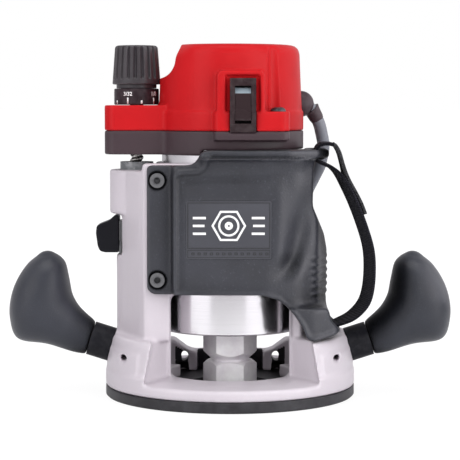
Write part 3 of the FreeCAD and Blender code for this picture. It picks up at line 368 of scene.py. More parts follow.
LOOKS = {
    "cast": cast_powder_coat(),
    "cast_machined": turned("cast_machined_bore", (0.48, 0.47, 0.49), rough=0.14, lines=700,
                            strength=0.12, darkness=0.1),
    "cast_recess_shade": plastic("cast_recess_painted_shade", (0.012, 0.010, 0.014), rough=0.40, grain=700,
                         grain_strength=0.3, vary=0.2, spec=0.2),
    "sub": sub_base_phenolic(),
    "red": plastic("red_nylon", (0.470, 0.008, 0.011), rough=0.36, grain=1500,
                   grain_strength=0.10, vary=0.06, spec=0.10, wear=0.25,
                   wear_color=(0.72, 0.10, 0.10)),
    "black": plastic("black_nylon", (0.050, 0.032, 0.038), rough=0.36, grain=1300,
                     grain_strength=0.2, vary=0.1, spec=0.26, wear=0.3),
    "switch": plastic("switch_plastic", (0.024, 0.013, 0.015), rough=0.26, grain=2200,
                      grain_strength=0.06, vary=0.1, spec=0.20, wear=0.2),
    # painted highlight: a light blue-grey standing for the top light on the rocker's upper face
    "switch_highlight": plastic("switch_facet_painted_highlight", (0.24, 0.29, 0.33), rough=0.32, grain=1500,
                     grain_strength=0.1, vary=0.08, spec=0.3),
    "dial": plastic("dial_plastic", (0.036, 0.030, 0.035), rough=0.30, grain=1600,
                    grain_strength=0.18, vary=0.12, wear=0.5, wear_color=(0.16, 0.16, 0.17)),
    "ring": plastic("ring_plastic", (0.022, 0.012, 0.016), rough=0.32, grain=1600,
                    grain_strength=0.10, vary=0.1, spec=0.22, wear=0.3),
    "grip": rubber("grip_rubber", (0.018, 0.019, 0.027), rough=0.38, grain=820,
                   grain_strength=0.62, speck=0.30, speck_color=(0.13, 0.145, 0.18), spec=0.66),
    "knob": rubber("knob_rubber", (0.022, 0.024, 0.033), rough=0.36, grain=1500,
                   grain_strength=0.30, speck=0.22, speck_color=(0.12, 0.14, 0.17), spec=0.46),
    "ferrule": plastic("ferrule_plastic", (0.008, 0.008, 0.011), rough=0.40, grain=1200,
                       grain_strength=0.25, vary=0.1, spec=0.15, wear=0.12),
    "button": plastic("button_plastic", (0.006, 0.006, 0.009), rough=0.33, grain=1500,
                      grain_strength=0.12, vary=0.1, spec=0.18, wear=0.4),
    "web": strap_webbing(),
    "velcro": strap_pile(),
    "cord": plastic("cord_jacket", (0.170, 0.176, 0.205), rough=0.42, grain=900,
                    grain_strength=0.3, vary=0.12, spec=0.6),
    "plate": plastic("name_plate_finish", (0.050, 0.051, 0.062), rough=0.42, grain=1100,
                     grain_strength=0.3, vary=0.1, spec=0.4),
    "alu": turned("barrel_aluminium", (0.86, 0.845, 0.865), rough=0.17, lines=900,
                  strength=0.10),
    "bush": plastic("bushing_zinc", (0.150, 0.158, 0.168), rough=0.38, grain=1100,
                    grain_strength=0.25, vary=0.12, wear=0.5, wear_color=(0.5, 0.5, 0.52)),
    "steel": ground("spindle_steel", (0.95, 0.90, 0.95), rough=0.40, scratch=0.7, metal=0.30),
    "zinc": ground("zinc_plated_steel", (0.66, 0.65, 0.62), rough=0.26, scratch=0.4),
    "blacksteel": black_oxide_steel(),
    "brass": ground("machined_brass", (0.66, 0.48, 0.20), rough=0.28, scratch=0.6),
    "copper": banded("copper_winding", (0.60, 0.27, 0.13), rough=0.35, lines=700,
                     distortion=1.5, dark=(0.36, 0.13, 0.05), light=(0.72, 0.36, 0.18),
                     strength=0.6, distance=0.0004),
    "lam": banded("lamination_steel", (0.22, 0.22, 0.24), rough=0.42, lines=640,
                  distortion=0.0, dark=(0.12, 0.12, 0.13), light=(0.34, 0.34, 0.36),
                  strength=0.5, distance=0.0002),
    "carbon": plastic("carbon_brush", (0.035, 0.035, 0.038), rough=0.6, grain=900,
                      grain_strength=0.4, vary=0.2),
    "fan": plastic("fan_nylon", (0.48, 0.46, 0.40), rough=0.5, grain=900,
                   grain_strength=0.3, vary=0.1),
    "mark": printed("printed_white", (0.86, 0.86, 0.86)),
    "mark_grey": printed("printed_grey", (0.020, 0.020, 0.024)),
}


# =============================================================== mesh helpers
def set_material(obj, material):
    obj.data.materials.clear()
    obj.data.materials.append(material)


def shade_smooth(mesh, smooth=True):
    mesh.polygons.foreach_set("use_smooth", [smooth] * len(mesh.polygons))
    mesh.update()


def link_object(name, mesh):
    obj = bpy.data.objects.new(name, mesh)
    bpy.context.scene.collection.objects.link(obj)
    return obj


def new_piece(name, surface, look, body, smooth=True, sharp=None):
    """surface is (vertices in mm, faces); sharp is the crease angle in degrees."""
    verts, faces = surface
    mesh = bpy.data.meshes.new(name)
    mesh.from_pydata([(x * MILLI, y * MILLI, z * MILLI) for x, y, z in verts], [], faces)
    mesh.validate()
    bm = bmesh.new()
    bm.from_mesh(mesh)
    bmesh.ops.recalc_face_normals(bm, faces=bm.faces)
    bm.to_mesh(mesh)
    bm.free()
    obj = link_object(name, mesh)
    set_material(obj, LOOKS[look])
    shade_smooth(mesh, smooth)
    if sharp:
        mesh.set_sharp_from_angle(angle=math.radians(sharp))
    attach(obj, body)
    return obj


def bake_modifiers(obj):
    depsgraph = bpy.context.evaluated_depsgraph_get()
    mesh = bpy.data.meshes.new_from_object(obj.evaluated_get(depsgraph))
    obj.modifiers.clear()
    old = obj.data
    obj.data = mesh
    bpy.data.meshes.remove(old)


def read_points(obj):
    """Vertex places in mm, one row each."""
    points = np.empty(len(obj.data.vertices) * 3, np.float32)
    obj.data.vertices.foreach_get("co", points)
    return points.reshape(-1, 3).astype(np.float64) / MILLI


def write_points(obj, points):
    obj.data.vertices.foreach_set("co", (points * MILLI).astype(np.float32).ravel())
    obj.data.update()


def relax(obj, times, weight=1.0):
    """Laplacian smoothing: each step moves a vertex half way to its neighbours' mean."""
    points = read_points(obj)
    count = len(points)
    edges = np.empty(len(obj.data.edges) * 2, np.int64)
    obj.data.edges.foreach_get("vertices", edges)
    start, end = edges.reshape(-1, 2).T
    neighbours = np.bincount(edges, minlength=count).astype(float)[:, None]
    neighbours[neighbours == 0] = 1
    for _ in range(times):
        total = np.zeros_like(points)
        for c in range(3):
            total[:, c] = (np.bincount(start, points[end, c], count)
                           + np.bincount(end, points[start, c], count))
        points = points + (total / neighbours - points) * 0.5 * weight
    write_points(obj, points)


def remeshed(name, node, voxel, smoothing, look, body):
    """A soft-edged, evenly meshed copy of a CAD node, standing for it."""
    bm = bmesh.new()
    bm.from_mesh(NODES[node].data)
    bmesh.ops.remove_doubles(bm, verts=bm.verts, dist=2e-6)
    mesh = bpy.data.meshes.new(name)
    bm.to_mesh(mesh)
    bm.free()
    obj = link_object(name, mesh)
    remesh = obj.modifiers.new("remesh", "REMESH")
    remesh.mode = "VOXEL"
    remesh.voxel_size = voxel * MILLI
    remesh.adaptivity = 0
    bake_modifiers(obj)
    relax(obj, smoothing)
    set_material(obj, LOOKS[look])
    obj.data.polygons.foreach_set("material_index", [0] * len(obj.data.polygons))
    shade_smooth(obj.data)
    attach(obj, body)
    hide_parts(node)
    return obj


def skin(rings, capped=True):
    """Joins equal closed rings of points; the caps are fans to the middle of each end."""
    count = len(rings[0])
    verts = [tuple(p) for ring in rings for p in ring]
    faces = []
    for i in range(len(rings) - 1):
        low, high = i * count, (i + 1) * count
        for j in range(count):
            k = (j + 1) % count
            faces.append((low + j, low + k, high + k, high + j))
    if capped:
        last = (len(rings) - 1) * count
        centre = len(verts)
        verts += [tuple(np.mean(rings[0], axis=0)), tuple(np.mean(rings[-1], axis=0))]
        faces += [(centre, (j + 1) % count, j) for j in range(count)]
        faces += [(centre + 1, last + j, last + (j + 1) % count) for j in range(count)]
    return verts, faces


def join(parts):
    """One surface from several."""
    verts, faces = [], []
    for part_verts, part_faces in parts:
        first = len(verts)
        verts += part_verts
        faces += [tuple(first + i for i in face) for face in part_faces]
    return verts, faces


def catmull(stations, per_span):
    """Smooth curve through stations, which may have any number of columns."""
    pts = np.array(stations, float)
    pts = np.vstack([2 * pts[0] - pts[1], pts, 2 * pts[-1] - pts[-2]])
    curve = []
    for i in range(1, len(pts) - 2):
        before, start, end, after = pts[i - 1:i + 3]
        for step in range(per_span):
            t = step / per_span
            curve.append(0.5 * (2 * start + (end - before) * t
                                + (2 * before - 5 * start + 4 * end - after) * t * t
                                + (3 * start - before - 3 * end + after) * t ** 3))
    curve.append(pts[-2])
    return np.array(curve)


def smoothstep(value, start, end):
    t = np.clip((value - start) / (end - start), 0, 1)
    return t * t * (3 - 2 * t)


def unit(vector):
    return vector / np.linalg.norm(vector)


def square_to(vector, direction):
    """Unit vector: the part of vector at right angles to direction."""
    return unit(vector - direction * vector.dot(direction))


def tangent(path, i):
    return unit(path[min(i + 1, len(path) - 1)] - path[max(i - 1, 0)])


def ring_about(centre, across, along, radius, count):
    """A circle in the plane of two unit vectors."""
    angles = [TURN * j / count for j in range(count)]
    return [centre + (across * math.cos(a) + along * math.sin(a)) * radius for a in angles]


def column_ring(radii, z):
    """A level ring about the depth column, one radius for each point."""
    count = len(radii)
    return [(COLUMN_X + r * math.cos(TURN * j / count), r * math.sin(TURN * j / count), z)
            for j, r in enumerate(radii)]


# ============================================================ plain CAD nodes
NODES_BY_LOOK = {
    "sub": "sub_base",
    "zinc": "sub_base_screws handle_studs clamp_bolt clamp_washer clamp_nut release_springs "
            "bearing_retainer brush_springs dial_retaining_clip lead_screw",
    "ferrule": "handle_left_ferrule handle_right_ferrule clamp_lever",
    "blacksteel": "handle_set_screws body_grip_screws half_nut retainer_screws cap_screws",
    "plate": "name_plate",
    "bush": "column_bushing",
    "alu": "motor_housing upper_bearing_bracket",
    "steel": "lower_bearing_outer lower_bearing_inner upper_bearing_outer upper_bearing_inner "
             "armature_shaft collet collet_nut",
    "lam": "field_core armature_core",
    "copper": "field_coils armature_windings commutator",
    "black": "brush_plate cord_boot motor_collar",
    "brass": "brush_holders plug_blades",
    "carbon": "carbon_brushes",
    "fan": "cooling_fan",
    "switch": "switch_bezel switch_rocker switch_body",
    "ring": "dial_scale_ring",
    "cord": "plug_body power_cord",
    "dial": "dial_knob",
    "velcro": "strap_fastener_tab",
    "web": "hand_strap",
    "button": "release_button",
    "red": "motor_cap",
    "grip": "body_grip",
    "cast": "base_casting",
    "knob": "handle_left_knob handle_right_knob",
}
NODES_BY_BEVEL = {
    0.2: "clamp_washer plug_blades",
    0.3: "clamp_nut clamp_bolt armature_shaft cap_screws dial_scale_ring motor_housing",
    0.35: "sub_base collet_nut body_grip_screws switch_rocker",
    0.45: "column_bushing switch_bezel",
    0.5: "handle_left_ferrule handle_right_ferrule",
    0.8: "plug_body",
}


def finish_cad_nodes():
    for look, names in NODES_BY_LOOK.items():
        for name in names.split():
            set_material(NODES[name], LOOKS[look])
    for width, names in NODES_BY_BEVEL.items():
        for name in names.split():
            bevel = NODES[name].modifiers.new("soft_edges", "BEVEL")
            bevel.width = width * MILLI
            bevel.segments = 2
            bevel.limit_method = "ANGLE"
            bevel.angle_limit = math.radians(32)
            bevel.harden_normals = True
            bevel.use_clamp_overlap = True


finish_cad_nodes()


# ================================================================= the casting
# x low, x high, half width in y, z low, z high
POCKET_BOXES = [
    (-69.0, -46.4, 8.75, 86.2, 108.2),
    (-74.0, -63.5, 8.55, 86.4, 110.7),
]


def square_pockets(obj):
    """Crisp inside corners, so that the half nut and its button pass without touching."""
    pts = read_points(obj)
    for x_low, x_high, half_y, z_low, z_high in POCKET_BOXES:
        x, y, z = pts.T
        inside = (x > x_low) & (x < x_high) & (np.abs(y) < half_y) & (z > z_low) & (z < z_high)
        rows = np.where(inside)[0]
        x, y, z = pts[rows].T
        nearest = np.stack([x_high - x, half_y - np.abs(y), z_high - z, z - z_low], 1).argmin(1)
        pts[rows[nearest == 0], 0] = x_high
        pts[rows[nearest == 1], 1] = np.sign(y[nearest == 1]) * half_y
        pts[rows[nearest == 2], 2] = z_high
        pts[rows[nearest == 3], 2] = z_low
    write_points(obj, pts)


def paint_casting(mesh):
    """Slot 1 is the machined motor bore, slot 2 a near-black painted shade on the recesses at the
    back (+Y).
    """
    mesh.materials.append(LOOKS["cast_machined"])
    mesh.materials.append(LOOKS["cast_recess_shade"])
    count = len(mesh.polygons)
    centres = np.empty(count * 3, np.float32)
    mesh.polygons.foreach_get("center", centres)
    x, y, z = (centres.reshape(-1, 3) / MILLI).T
    normals = np.empty(count * 3, np.float32)
    mesh.polygons.foreach_get("normal", normals)
    normals = normals.reshape(-1, 3)
    radius = np.hypot(x, y)
    from_middle = np.abs(x)
    inward = -(normals[:, 0] * x + normals[:, 1] * y) / np.maximum(radius, 1e-3)
    index = np.zeros(count, np.int32)
    index[(radius < 45.4) & (z > 34.0) & (inward > 0.45)] = 1
    # the well's rear wall and pockets get painted shade: a near-black material
    well = (y > 20) & (z < 25) & (radius < 58.8)
    index[well & (from_middle < 21.2) & (z < 19.4)] = 2
    slope = 18.6 + (from_middle - 27) * 0.66
    index[well & (from_middle > 26.6) & (from_middle < 34.8) & (z < slope)] = 2
    mesh.polygons.foreach_set("material_index", index)
    mesh.update()


def build_casting():
    obj = remeshed("cast_base", "base_casting", voxel=0.85, smoothing=9, look="cast",
                   body="base")
    square_pockets(obj)
    paint_casting(obj.data)


build_casting()


# =========================================================== head of the motor
def build_head():
    obj = remeshed("red_motor_cap", "motor_cap", voxel=0.62, smoothing=6, look="red",
                   body="motor")
    pts = read_points(obj)
    x, z = pts[:, 0], pts[:, 2]
    # the flat beside the dial leans in towards the crown
    lean = smoothstep(z, 196.0, 206.0) * 0.8 + smoothstep(z, 204.0, 212.6) * 2.6
    pts[:, 0] += lean * (1 - smoothstep(x, -33.0, -20.0))
    write_points(obj, pts)
    remeshed("black_motor_collar", "motor_collar", voxel=0.62, smoothing=5, look="black",
             body="motor")


build_head()


# =================================================================== body grip
# Lines drawn on the front of the grip, as (x, z)
LOWER_EDGE = [(-45, 66), (-10, 65.8), (18, 65.2), (28, 62.2), (36.2, 55.2), (42.2, 46.9),
              (45.3, 40.0), (49.5, 38.6), (58, 40.2), (65.5, 42.4)]
STEP_LINE = [(-32.4, 67), (-32.4, 135.2), (-30.0, 137.4), (-19.0, 137.8), (-15.2, 140.4),
             (-13.0, 146.0)]
GROOVE_LINE = [(-29.6, 72), (-29.6, 133.0), (-14.0, 134.2), (20, 134.6)]
# Centre line of the long valley: heights, and x at each
VALLEY_Z = [66, 80, 90, 100, 111, 125, 140]
VALLEY_X = [28, 34.5, 38.5, 40.5, 41.5, 42, 42]
RIB_PITCH = 4.3


def bell(value, centre, width):
    return np.exp(-((value - centre) / width) ** 2)


def ridge(x, z, line, half_width, power=1.0):
    """Rounded profile, 0 to 1, along a polyline in x and z."""
    dist = np.full(len(x), 1e9)
    for (x0, z0), (x1, z1) in zip(line, line[1:]):
        dx, dz = x1 - x0, z1 - z0
        t = np.clip(((x - x0) * dx + (z - z0) * dz) / (dx * dx + dz * dz), 0, 1)
        dist = np.minimum(dist, np.hypot(x - x0 - t * dx, z - z0 - t * dz))
    return np.clip(1 - (dist / half_width) ** 2, 0, 1) ** power


def build_grip():
    obj = remeshed("rubber_body_grip", "body_grip", voxel=0.8, smoothing=12, look="grip",
                   body="base")
    # melt the body of the grip into its lower tip
    x, y, z = read_points(obj).T
    melt = smoothstep(x, 22, 32) * smoothstep(-y, 4, 16) * bell(z, 64.0, 7.5)
    relax(obj, 70, melt[:, None])
    x, y, z = (column.copy() for column in read_points(obj).T)
    front = smoothstep(-y, 18, 32)
    # Positive shift cuts in, negative raises. First the long valley, and the swell right of it.
    valley_x = np.interp(z, VALLEY_Z, VALLEY_X)
    height_fade = smoothstep(z, 70, 86) * (1 - smoothstep(z, 100, 132))
    shift = 6.6 * bell(x, valley_x, 6.4) * height_fade * front
    height_fade = smoothstep(z, 52, 72) * (1 - smoothstep(z, 100, 120))
    shift -= 0.5 * bell(x, 52.5, 4.6) * height_fade * smoothstep(-y, 8, 30)
    # soft crown between the name plate and the valley
    height_fade = smoothstep(z, 76, 90) * (1 - smoothstep(z, 124, 140))
    shift -= 1.2 * bell(x, 29.0, 4.4) * height_fade * front
    # raised bead along the lower edge
    shift -= 1.9 * ridge(x, z, LOWER_EDGE, 3.0, 0.7) * smoothstep(-y, 34, 42) * (x > -33)
    # moulded step beside the screw flange, with a shallow groove inside it
    shift -= 1.5 * ridge(x, z, STEP_LINE, 2.1, 0.7) * smoothstep(-y, 42, 46)
    shift += 0.55 * ridge(x, z, GROOVE_LINE, 3.4) * smoothstep(-y, 44, 48)
    # concave sweep up into the flange
    shift -= (3.6 * smoothstep(z, 134.0, 146.0) ** 2 * smoothstep(-y, 36, 46)
              * smoothstep(x, -20, -14) * (z < 145.6))
    y += shift
    # shallow ribs on the right edge
    rib_fade = smoothstep(z, 60, 64) * (1 - smoothstep(z, 84, 90))
    rib_fade *= smoothstep(x, 46, 52) * (1 - smoothstep(y, -2, 8))
    rib = np.cos((z - 60.5) / RIB_PITCH * TURN) * rib_fade
    x += 0.55 * rib
    y -= 0.3 * rib * front
    write_points(obj, np.stack([x, y, z], 1))
    relax(obj, 2)


build_grip()


# ================================================================ side handles
# Sections of the left knob from the ferrule outwards and up:
# x and z of the end nearer the body, x and z of the far end, half depth in y
KNOB_SECTIONS = [
    (-82.23, 43.87, -88.55, 23.93, 10.45),
    (-89.46, 50.12, -97.43, 25.61, 12.4),
    (-93.75, 55.02, -112.75, 30.51, 16.0),
    (-96.81, 61.15, -130.51, 33.58, 20.0),
    (-98.04, 67.28, -135.23, 46.44, 21.5),
    (-98.96, 72.18, -134.62, 58.70, 21.0),
    (-100.80, 80.15, -130.82, 69.73, 17.8),
    (-104.17, 84.25, -124.39, 79.53, 12.4),
    (-108.15, 86.70, -117.65, 85.17, 5.6),
]
# Rings derived from an end section: size factor, then shift along the end's direction
KNOB_LIP = [(0.55, 0.15), (0.90, 0.15), (0.965, 0.25), (0.99, 0.6), (1.0, 1.3)]
KNOB_CROWN = [(0.80, 0.9), (0.52, 1.5), (0.24, 1.8)]
KNOB_POINTS = 64
KNOB_SQUARENESS = 2.25  # 2 would be a plain ellipse


def end_rings(ring, direction, table):
    ring = np.array(ring)
    middle = ring.mean(0)
    return [middle + (ring - middle) * factor + direction * shift for factor, shift in table]


def build_knob(name, node, side):
    """side is 1 for the knob at -X and -1 for its mirror image at +X."""
    rings = []
    for near_x, near_z, far_x, far_z, depth in catmull(KNOB_SECTIONS, 9):
        mid_x, mid_z = (near_x + far_x) / 2, (near_z + far_z) / 2
        half_x, half_z = (near_x - far_x) / 2, (near_z - far_z) / 2
        ring = []
        for j in range(KNOB_POINTS):
            angle = TURN * j / KNOB_POINTS
            cos, sin = math.cos(angle), math.sin(angle)
            swell = abs(cos) ** KNOB_SQUARENESS + abs(sin) ** KNOB_SQUARENESS
            swell **= -1 / KNOB_SQUARENESS
            ring.append((side * (mid_x + half_x * cos * swell), depth * sin * swell,
                         mid_z + half_z * cos * swell))
        rings.append(ring)
    # rounded lip where the rubber meets the ferrule, and a domed top
    lip = end_rings(rings[0], np.array([side * -0.953, 0, 0.302]), KNOB_LIP)
    crown = end_rings(rings[-1], np.array([side * -0.16, 0, 0.987]), KNOB_CROWN)
    obj = new_piece(name, skin(lip + rings[2:] + crown), "knob", "base")
    relax(obj, 6)
    subdivision = obj.modifiers.new("s", "SUBSURF")
    subdivision.levels = subdivision.render_levels = 1
    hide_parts(node)


build_knob("soft_knob_left", "handle_left_knob", 1)
build_knob("soft_knob_right", "handle_right_knob", -1)


# ======================================================================== dial
FLUTES = 20
FLUTE_DEPTH = 1.45
# Turned profiles as (radius, z)
DIAL_FOOT = [(4.2, 176.95), (8.0, 176.95), (8.0, 186.8), (12.1, 186.85), (12.2, 187.1),
             (12.2, 189.15), (13.6, 189.2), (14.2, 189.3), (14.55, 189.7), (14.6, 190.3),
             (14.5, 191.6), (14.42, 192.4), (14.36, 193.0)]
DIAL_TOP = [(13.0, 211.2), (12.75, 211.9), (12.2, 212.45), (11.4, 212.75), (10.2, 212.8),
            (9.6, 212.6), (9.2, 212.2), (8.6, 212.0), (4.2, 212.0)]
SCREW_TOP = [(4.15, 176.0), (4.15, 211.6), (3.5, 212.3)]
SCREW_PITCH = 3.96875
SCREW_RADIUS = 4.12
SCREW_POINTS = 40


def build_dial_knob():
    profile = list(DIAL_FOOT)
    z = 193.6
    while z < 210.6:  # the tapered side
        profile.append((14.6 - 1.6 * (z - 190) / 22, z))
        z += 0.7
    profile += DIAL_TOP + DIAL_FOOT[:1]
    count = FLUTES * 14
    waves = [abs(math.sin(TURN * j / count * FLUTES / 2)) for j in range(count)]
    depths = [FLUTE_DEPTH * max(0.0, 1 - (wave / 0.72) ** 2.2) for wave in waves]
    rings = []
    for radius, z in profile:
        fade = 0.0
        if radius > 10:
            fade = smoothstep(z, 192.3, 193.6) * (1 - smoothstep(z, 211.3, 212.6))
        rings.append(column_ring([radius - depth * fade for depth in depths], z))
    obj = new_piece("fluted_depth_knob", skin(rings, capped=False), "dial", "dial",
                    sharp=42)
    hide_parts("dial_knob")


def build_lead_screw():
    """A true thread below the knob and a plain shank through it."""
    rings = []
    z = 45.2
    while z < 175.5:
        fade = smoothstep(z, 45.0, 48.0) * (1 - smoothstep(z, 168.0, 170.5))
        radii = []
        for j in range(SCREW_POINTS):
            phase = (z / SCREW_PITCH - j / SCREW_POINTS) % 1.0
            triangle = abs(2 * phase - 1)
            depth = 0.95 * min(1.0, max(0.0, (triangle - 0.22) / 0.56))
            radii.append(SCREW_RADIUS - depth * fade)
        rings.append(column_ring(radii, z))
        z += SCREW_PITCH / 14
    rings += [column_ring([radius] * SCREW_POINTS, z) for radius, z in SCREW_TOP]
    obj = new_piece("threaded_lead_screw", skin(rings), "zinc", "dial", sharp=50)
    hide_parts("lead_screw")


build_dial_knob()
build_lead_screw()


# ============================================================ scale ring print
PRINT_RADIUS = 13.62 + 0.06  # the ring, and the lift of the print above it
TICK_FOOT = 177.5
NUMBER_Z = 183.4
# Label and its angle in degrees from the front, positive towards +X
NUMBERS = [("1/8", 52), ("3/32", -20), ("1/16", -92), ("1/32", -164), ("0", 124)]


def on_ring(angle, z):
    turn = math.radians(-90 + angle)
    return (COLUMN_X + PRINT_RADIUS * math.cos(turn), PRINT_RADIUS * math.sin(turn), z)


def ring_degrees(length):
    return length / 13.6 * 57.3


def build_ticks():
    """Ten ticks, every other one long."""
    ticks = []
    for k in range(10):
        top, width = (181.2, 1.0) if k % 2 == 0 else (179.5, 1.05)
        sweep = ring_degrees(width)
        left = 36.0 * k + NUMBERS[0][1] - sweep / 2
        verts = [on_ring(left + sweep * i / 2, z) for i in range(3) for z in (TICK_FOOT, top)]
        ticks.append((verts, [(0, 2, 3, 1), (2, 4, 5, 3)]))
    obj = new_piece("scale_ring_graduations", join(ticks), "mark", "scale_ring")
    solidify = obj.modifiers.new("t", "SOLIDIFY")
    solidify.thickness = 0.05 * MILLI


def flat_text(label):
    """The label as a flat mesh: points (x, y) in mm about its middle, and faces."""
    curve = bpy.data.curves.new("label", "FONT")
    curve.body = label
    curve.size = (3.7 if len(label) < 4 else 3.2) * MILLI
    curve.align_x = "CENTER"
    curve.align_y = "CENTER"
    curve.resolution_u = 3
    curve.offset = 0.00007
    text = link_object("label", curve)
    bpy.context.view_layer.update()
    depsgraph = bpy.context.evaluated_depsgraph_get()
    mesh = bpy.data.meshes.new_from_object(text.evaluated_get(depsgraph))
    bpy.data.objects.remove(text)
    bm = bmesh.new()
    bm.from_mesh(mesh)
    bmesh.ops.triangulate(bm, faces=bm.faces)
    # finer faces, so that the text bends round the ring
    bmesh.ops.subdivide_edges(bm, edges=bm.edges, cuts=1, use_grid_fill=False)
    points = [(vert.co.x / MILLI, vert.co.y / MILLI) for vert in bm.verts]
    bm.verts.index_update()
    faces = [tuple(vert.index for vert in face.verts) for face in bm.faces]
    bm.free()
    bpy.data.meshes.remove(mesh)
    return points, faces


def build_numbers():
    for label, angle in NUMBERS:
        points, faces = flat_text(label)
        verts = [on_ring(angle + ring_degrees(x), NUMBER_Z + y) for x, y in points]
        new_piece("scale_ring_number_" + label.replace("/", "_"), (verts, faces), "mark",
                  "scale_ring", smooth=False)


build_ticks()
build_numbers()


# ============================================================== release button
def build_release_springs():
    """Return springs: a copy of the CAD springs with their placement baked in."""
    obj = link_object("release_return_springs", NODES["release_springs"].data.copy())
    set_material(obj, LOOKS["zinc"])
    shade_smooth(obj.data)
    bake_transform(obj)
    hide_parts("release_springs")


remeshed("release_thumb_button", "release_button", voxel=0.42, smoothing=7, look="button",
         body="release")
build_release_springs()


# ================================================================== hand strap
STRAP_Y = -22.0
STRAP_LEAN = -0.19  # x part of the width direction where the strap leans most
STRAP_BULGE = 0.25
STRAP_SEGMENTS = 12  # across the width
# Centre lines as (x, z)
STRAP = [(61.4, 153.4), (58.6, 153.9), (54.2, 153.5), (51.8, 151.4), (51.2, 147.6),
         (52.2, 143.6), (55.4, 141.9), (60.2, 139.6), (64.6, 135.4), (68.8, 128.8),
         (74.1, 117.7), (79.5, 103.4), (83.0, 91.0), (83.9, 79.1), (83.0, 66.7),
         (80.1, 57.8), (73.4, 50.6), (65.0, 46.6), (59.6, 45.2)]
STRAP_END = [(61.4, 153.5), (62.9, 152.3), (64.9, 148.6), (66.5, 143.2), (68.2, 137.0),
             (70.1, 131.4), (73.4, 124.4), (76.5, 117.6), (78.8, 111.6)]


def ribbon(name, line, lean, thick, half_width, look):
    """A band along line; lean gives 0..1 for a fraction of its length."""
    path = catmull([(x, STRAP_Y, z) for x, z in line], 6)
    # round the section: place across (-1..1) and face (1 or -1)
    steps = range(STRAP_SEGMENTS + 1)
    section = [(-1 + 2 * j / STRAP_SEGMENTS, 1) for j in steps]
    section += [(1 - 2 * j / STRAP_SEGMENTS, -1) for j in steps]
    rings = []
    for i, point in enumerate(path):
        along = tangent(path, i)
        lean_here = STRAP_LEAN * lean(i / (len(path) - 1))
        across = square_to(np.array([lean_here, 1.0, 0.0]), along)
        normal = np.cross(along, across)
        ring = []
        for place, face in section:
            edge = max(0.0, (abs(place) - 0.90) / 0.10)
            half_thick = thick / 2 * math.sqrt(1 - edge * edge * 0.72)
            lift = face * half_thick + STRAP_BULGE * (1 - place * place)
            ring.append(point + across * place * half_width + normal * lift)
        rings.append(ring)
    return new_piece(name, skin(rings), look, "base", sharp=60)


def build_strap():
    obj = ribbon("webbing_strap", STRAP,
                 lambda s: smoothstep(s, 0.34, 0.52) * (1 - smoothstep(s, 0.90, 1.0)),
                 thick=2.1, half_width=12.2, look="web")
    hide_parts("hand_strap")
    obj = ribbon("strap_pile_end", STRAP_END, lambda s: smoothstep(s, 0.35, 0.9),
                 thick=2.2, half_width=11.8, look="velcro")
    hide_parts("strap_fastener_tab")


build_strap()


# ========================================================== cord and cord boot
CORD_RADIUS = 3.85
BEND_RADIUS = 26.0
BEND_STEPS = 10
CORD_CORNERS = [(36.0, 13.13, 177.64), (48.6, 15.31, 177.38), (55.4, 18.2, 165.6),
                (58.8, 23.6, 151.0), (56.4, 30.0, 138.5), (49.6, 38.5, 124.0),
                (45.2, 47.0, 108.0), (44.2, 53.0, 94.4), (44.2, 53.0, 84.3)]
BOOT_START = np.array([38.0, 13.48, 177.60])
BOOT_AXIS = unit(np.array([0.985, 0.17, -0.02]))
BOOT_DOME_START = 5.9
BOOT_RADIUS = 8.0
# Distance along the axis and radius, up to the foot of the dome
BOOT_PROFILE = [(-6.0, 7.9), (1.6, 7.9), (1.9, 7.6), (2.3, 7.55), (2.7, 7.8),
                (3.2, BOOT_RADIUS), (BOOT_DOME_START, BOOT_RADIUS)]


def round_path(corners):
    """Straight runs joined by tangent arcs, sampled."""
    pts = [np.array(p, float) for p in corners]
    path = [pts[0]]
    for start, corner, end in zip(pts, pts[1:], pts[2:]):
        coming, going = unit(corner - start), unit(end - corner)
        half = math.acos(max(-1.0, min(1.0, float(coming.dot(going))))) / 2
        cut = min(BEND_RADIUS * math.tan(half), 0.46 * np.linalg.norm(corner - start),
                  0.46 * np.linalg.norm(end - corner))
        radius = cut / math.tan(half)
        centre = corner + unit(going - coming) * (radius / math.cos(half))
        spoke = (corner - coming * cut - centre) / radius
        for k in range(BEND_STEPS + 1):
            angle = 2 * half * k / BEND_STEPS
            path.append(centre + (spoke * math.cos(angle) + coming * math.sin(angle)) * radius)
    path.append(pts[-1])
    return np.array(path)


def tube(name, path, radii, count, look):
    rings = []
    across = np.array([0.0, 0.0, 1.0])
    for i, (point, radius) in enumerate(zip(path, radii)):
        direction = tangent(path, i)
        across = square_to(across, direction)
        rings.append(ring_about(point, across, np.cross(direction, across), radius, count))
    return new_piece(name, skin(rings), look, "motor", sharp=50)


def build_cord():
    path = round_path(CORD_CORNERS)
    obj = tube("rubber_power_cord", path, [CORD_RADIUS] * len(path), 40, "cord")
    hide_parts("power_cord")


def build_cord_boot():
    """Flange, groove and domed end."""
    profile = list(BOOT_PROFILE)
    for k in range(1, 12):
        angle = math.radians(7.4 * k)
        profile.append((BOOT_DOME_START + BOOT_RADIUS * math.sin(angle),
                        BOOT_RADIUS * math.cos(angle)))
    profile.append((BOOT_DOME_START + BOOT_RADIUS, 0.25))
    across = square_to(np.array([0, 0, 1.0]), BOOT_AXIS)
    side = np.cross(BOOT_AXIS, across)
    rings = [ring_about(BOOT_START + BOOT_AXIS * along, across, side, radius, 48)
             for along, radius in profile]
    obj = new_piece("moulded_cord_boot", skin(rings), "black", "motor", sharp=60)
    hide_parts("cord_boot")


def build_boot_lip():
    """A short tapering collar where the cord leaves the boot."""
    path = [p for p in round_path(CORD_CORNERS[:4]) if 50.0 < p[0] < 54.4]
    last = len(path) - 1
    radii = [5.4 - 1.35 * (i / last) ** 0.7 for i in range(len(path))]
    tube("cord_boot_lip", path, radii, 32, "black")


build_cord()
build_cord_boot()
build_boot_lip()


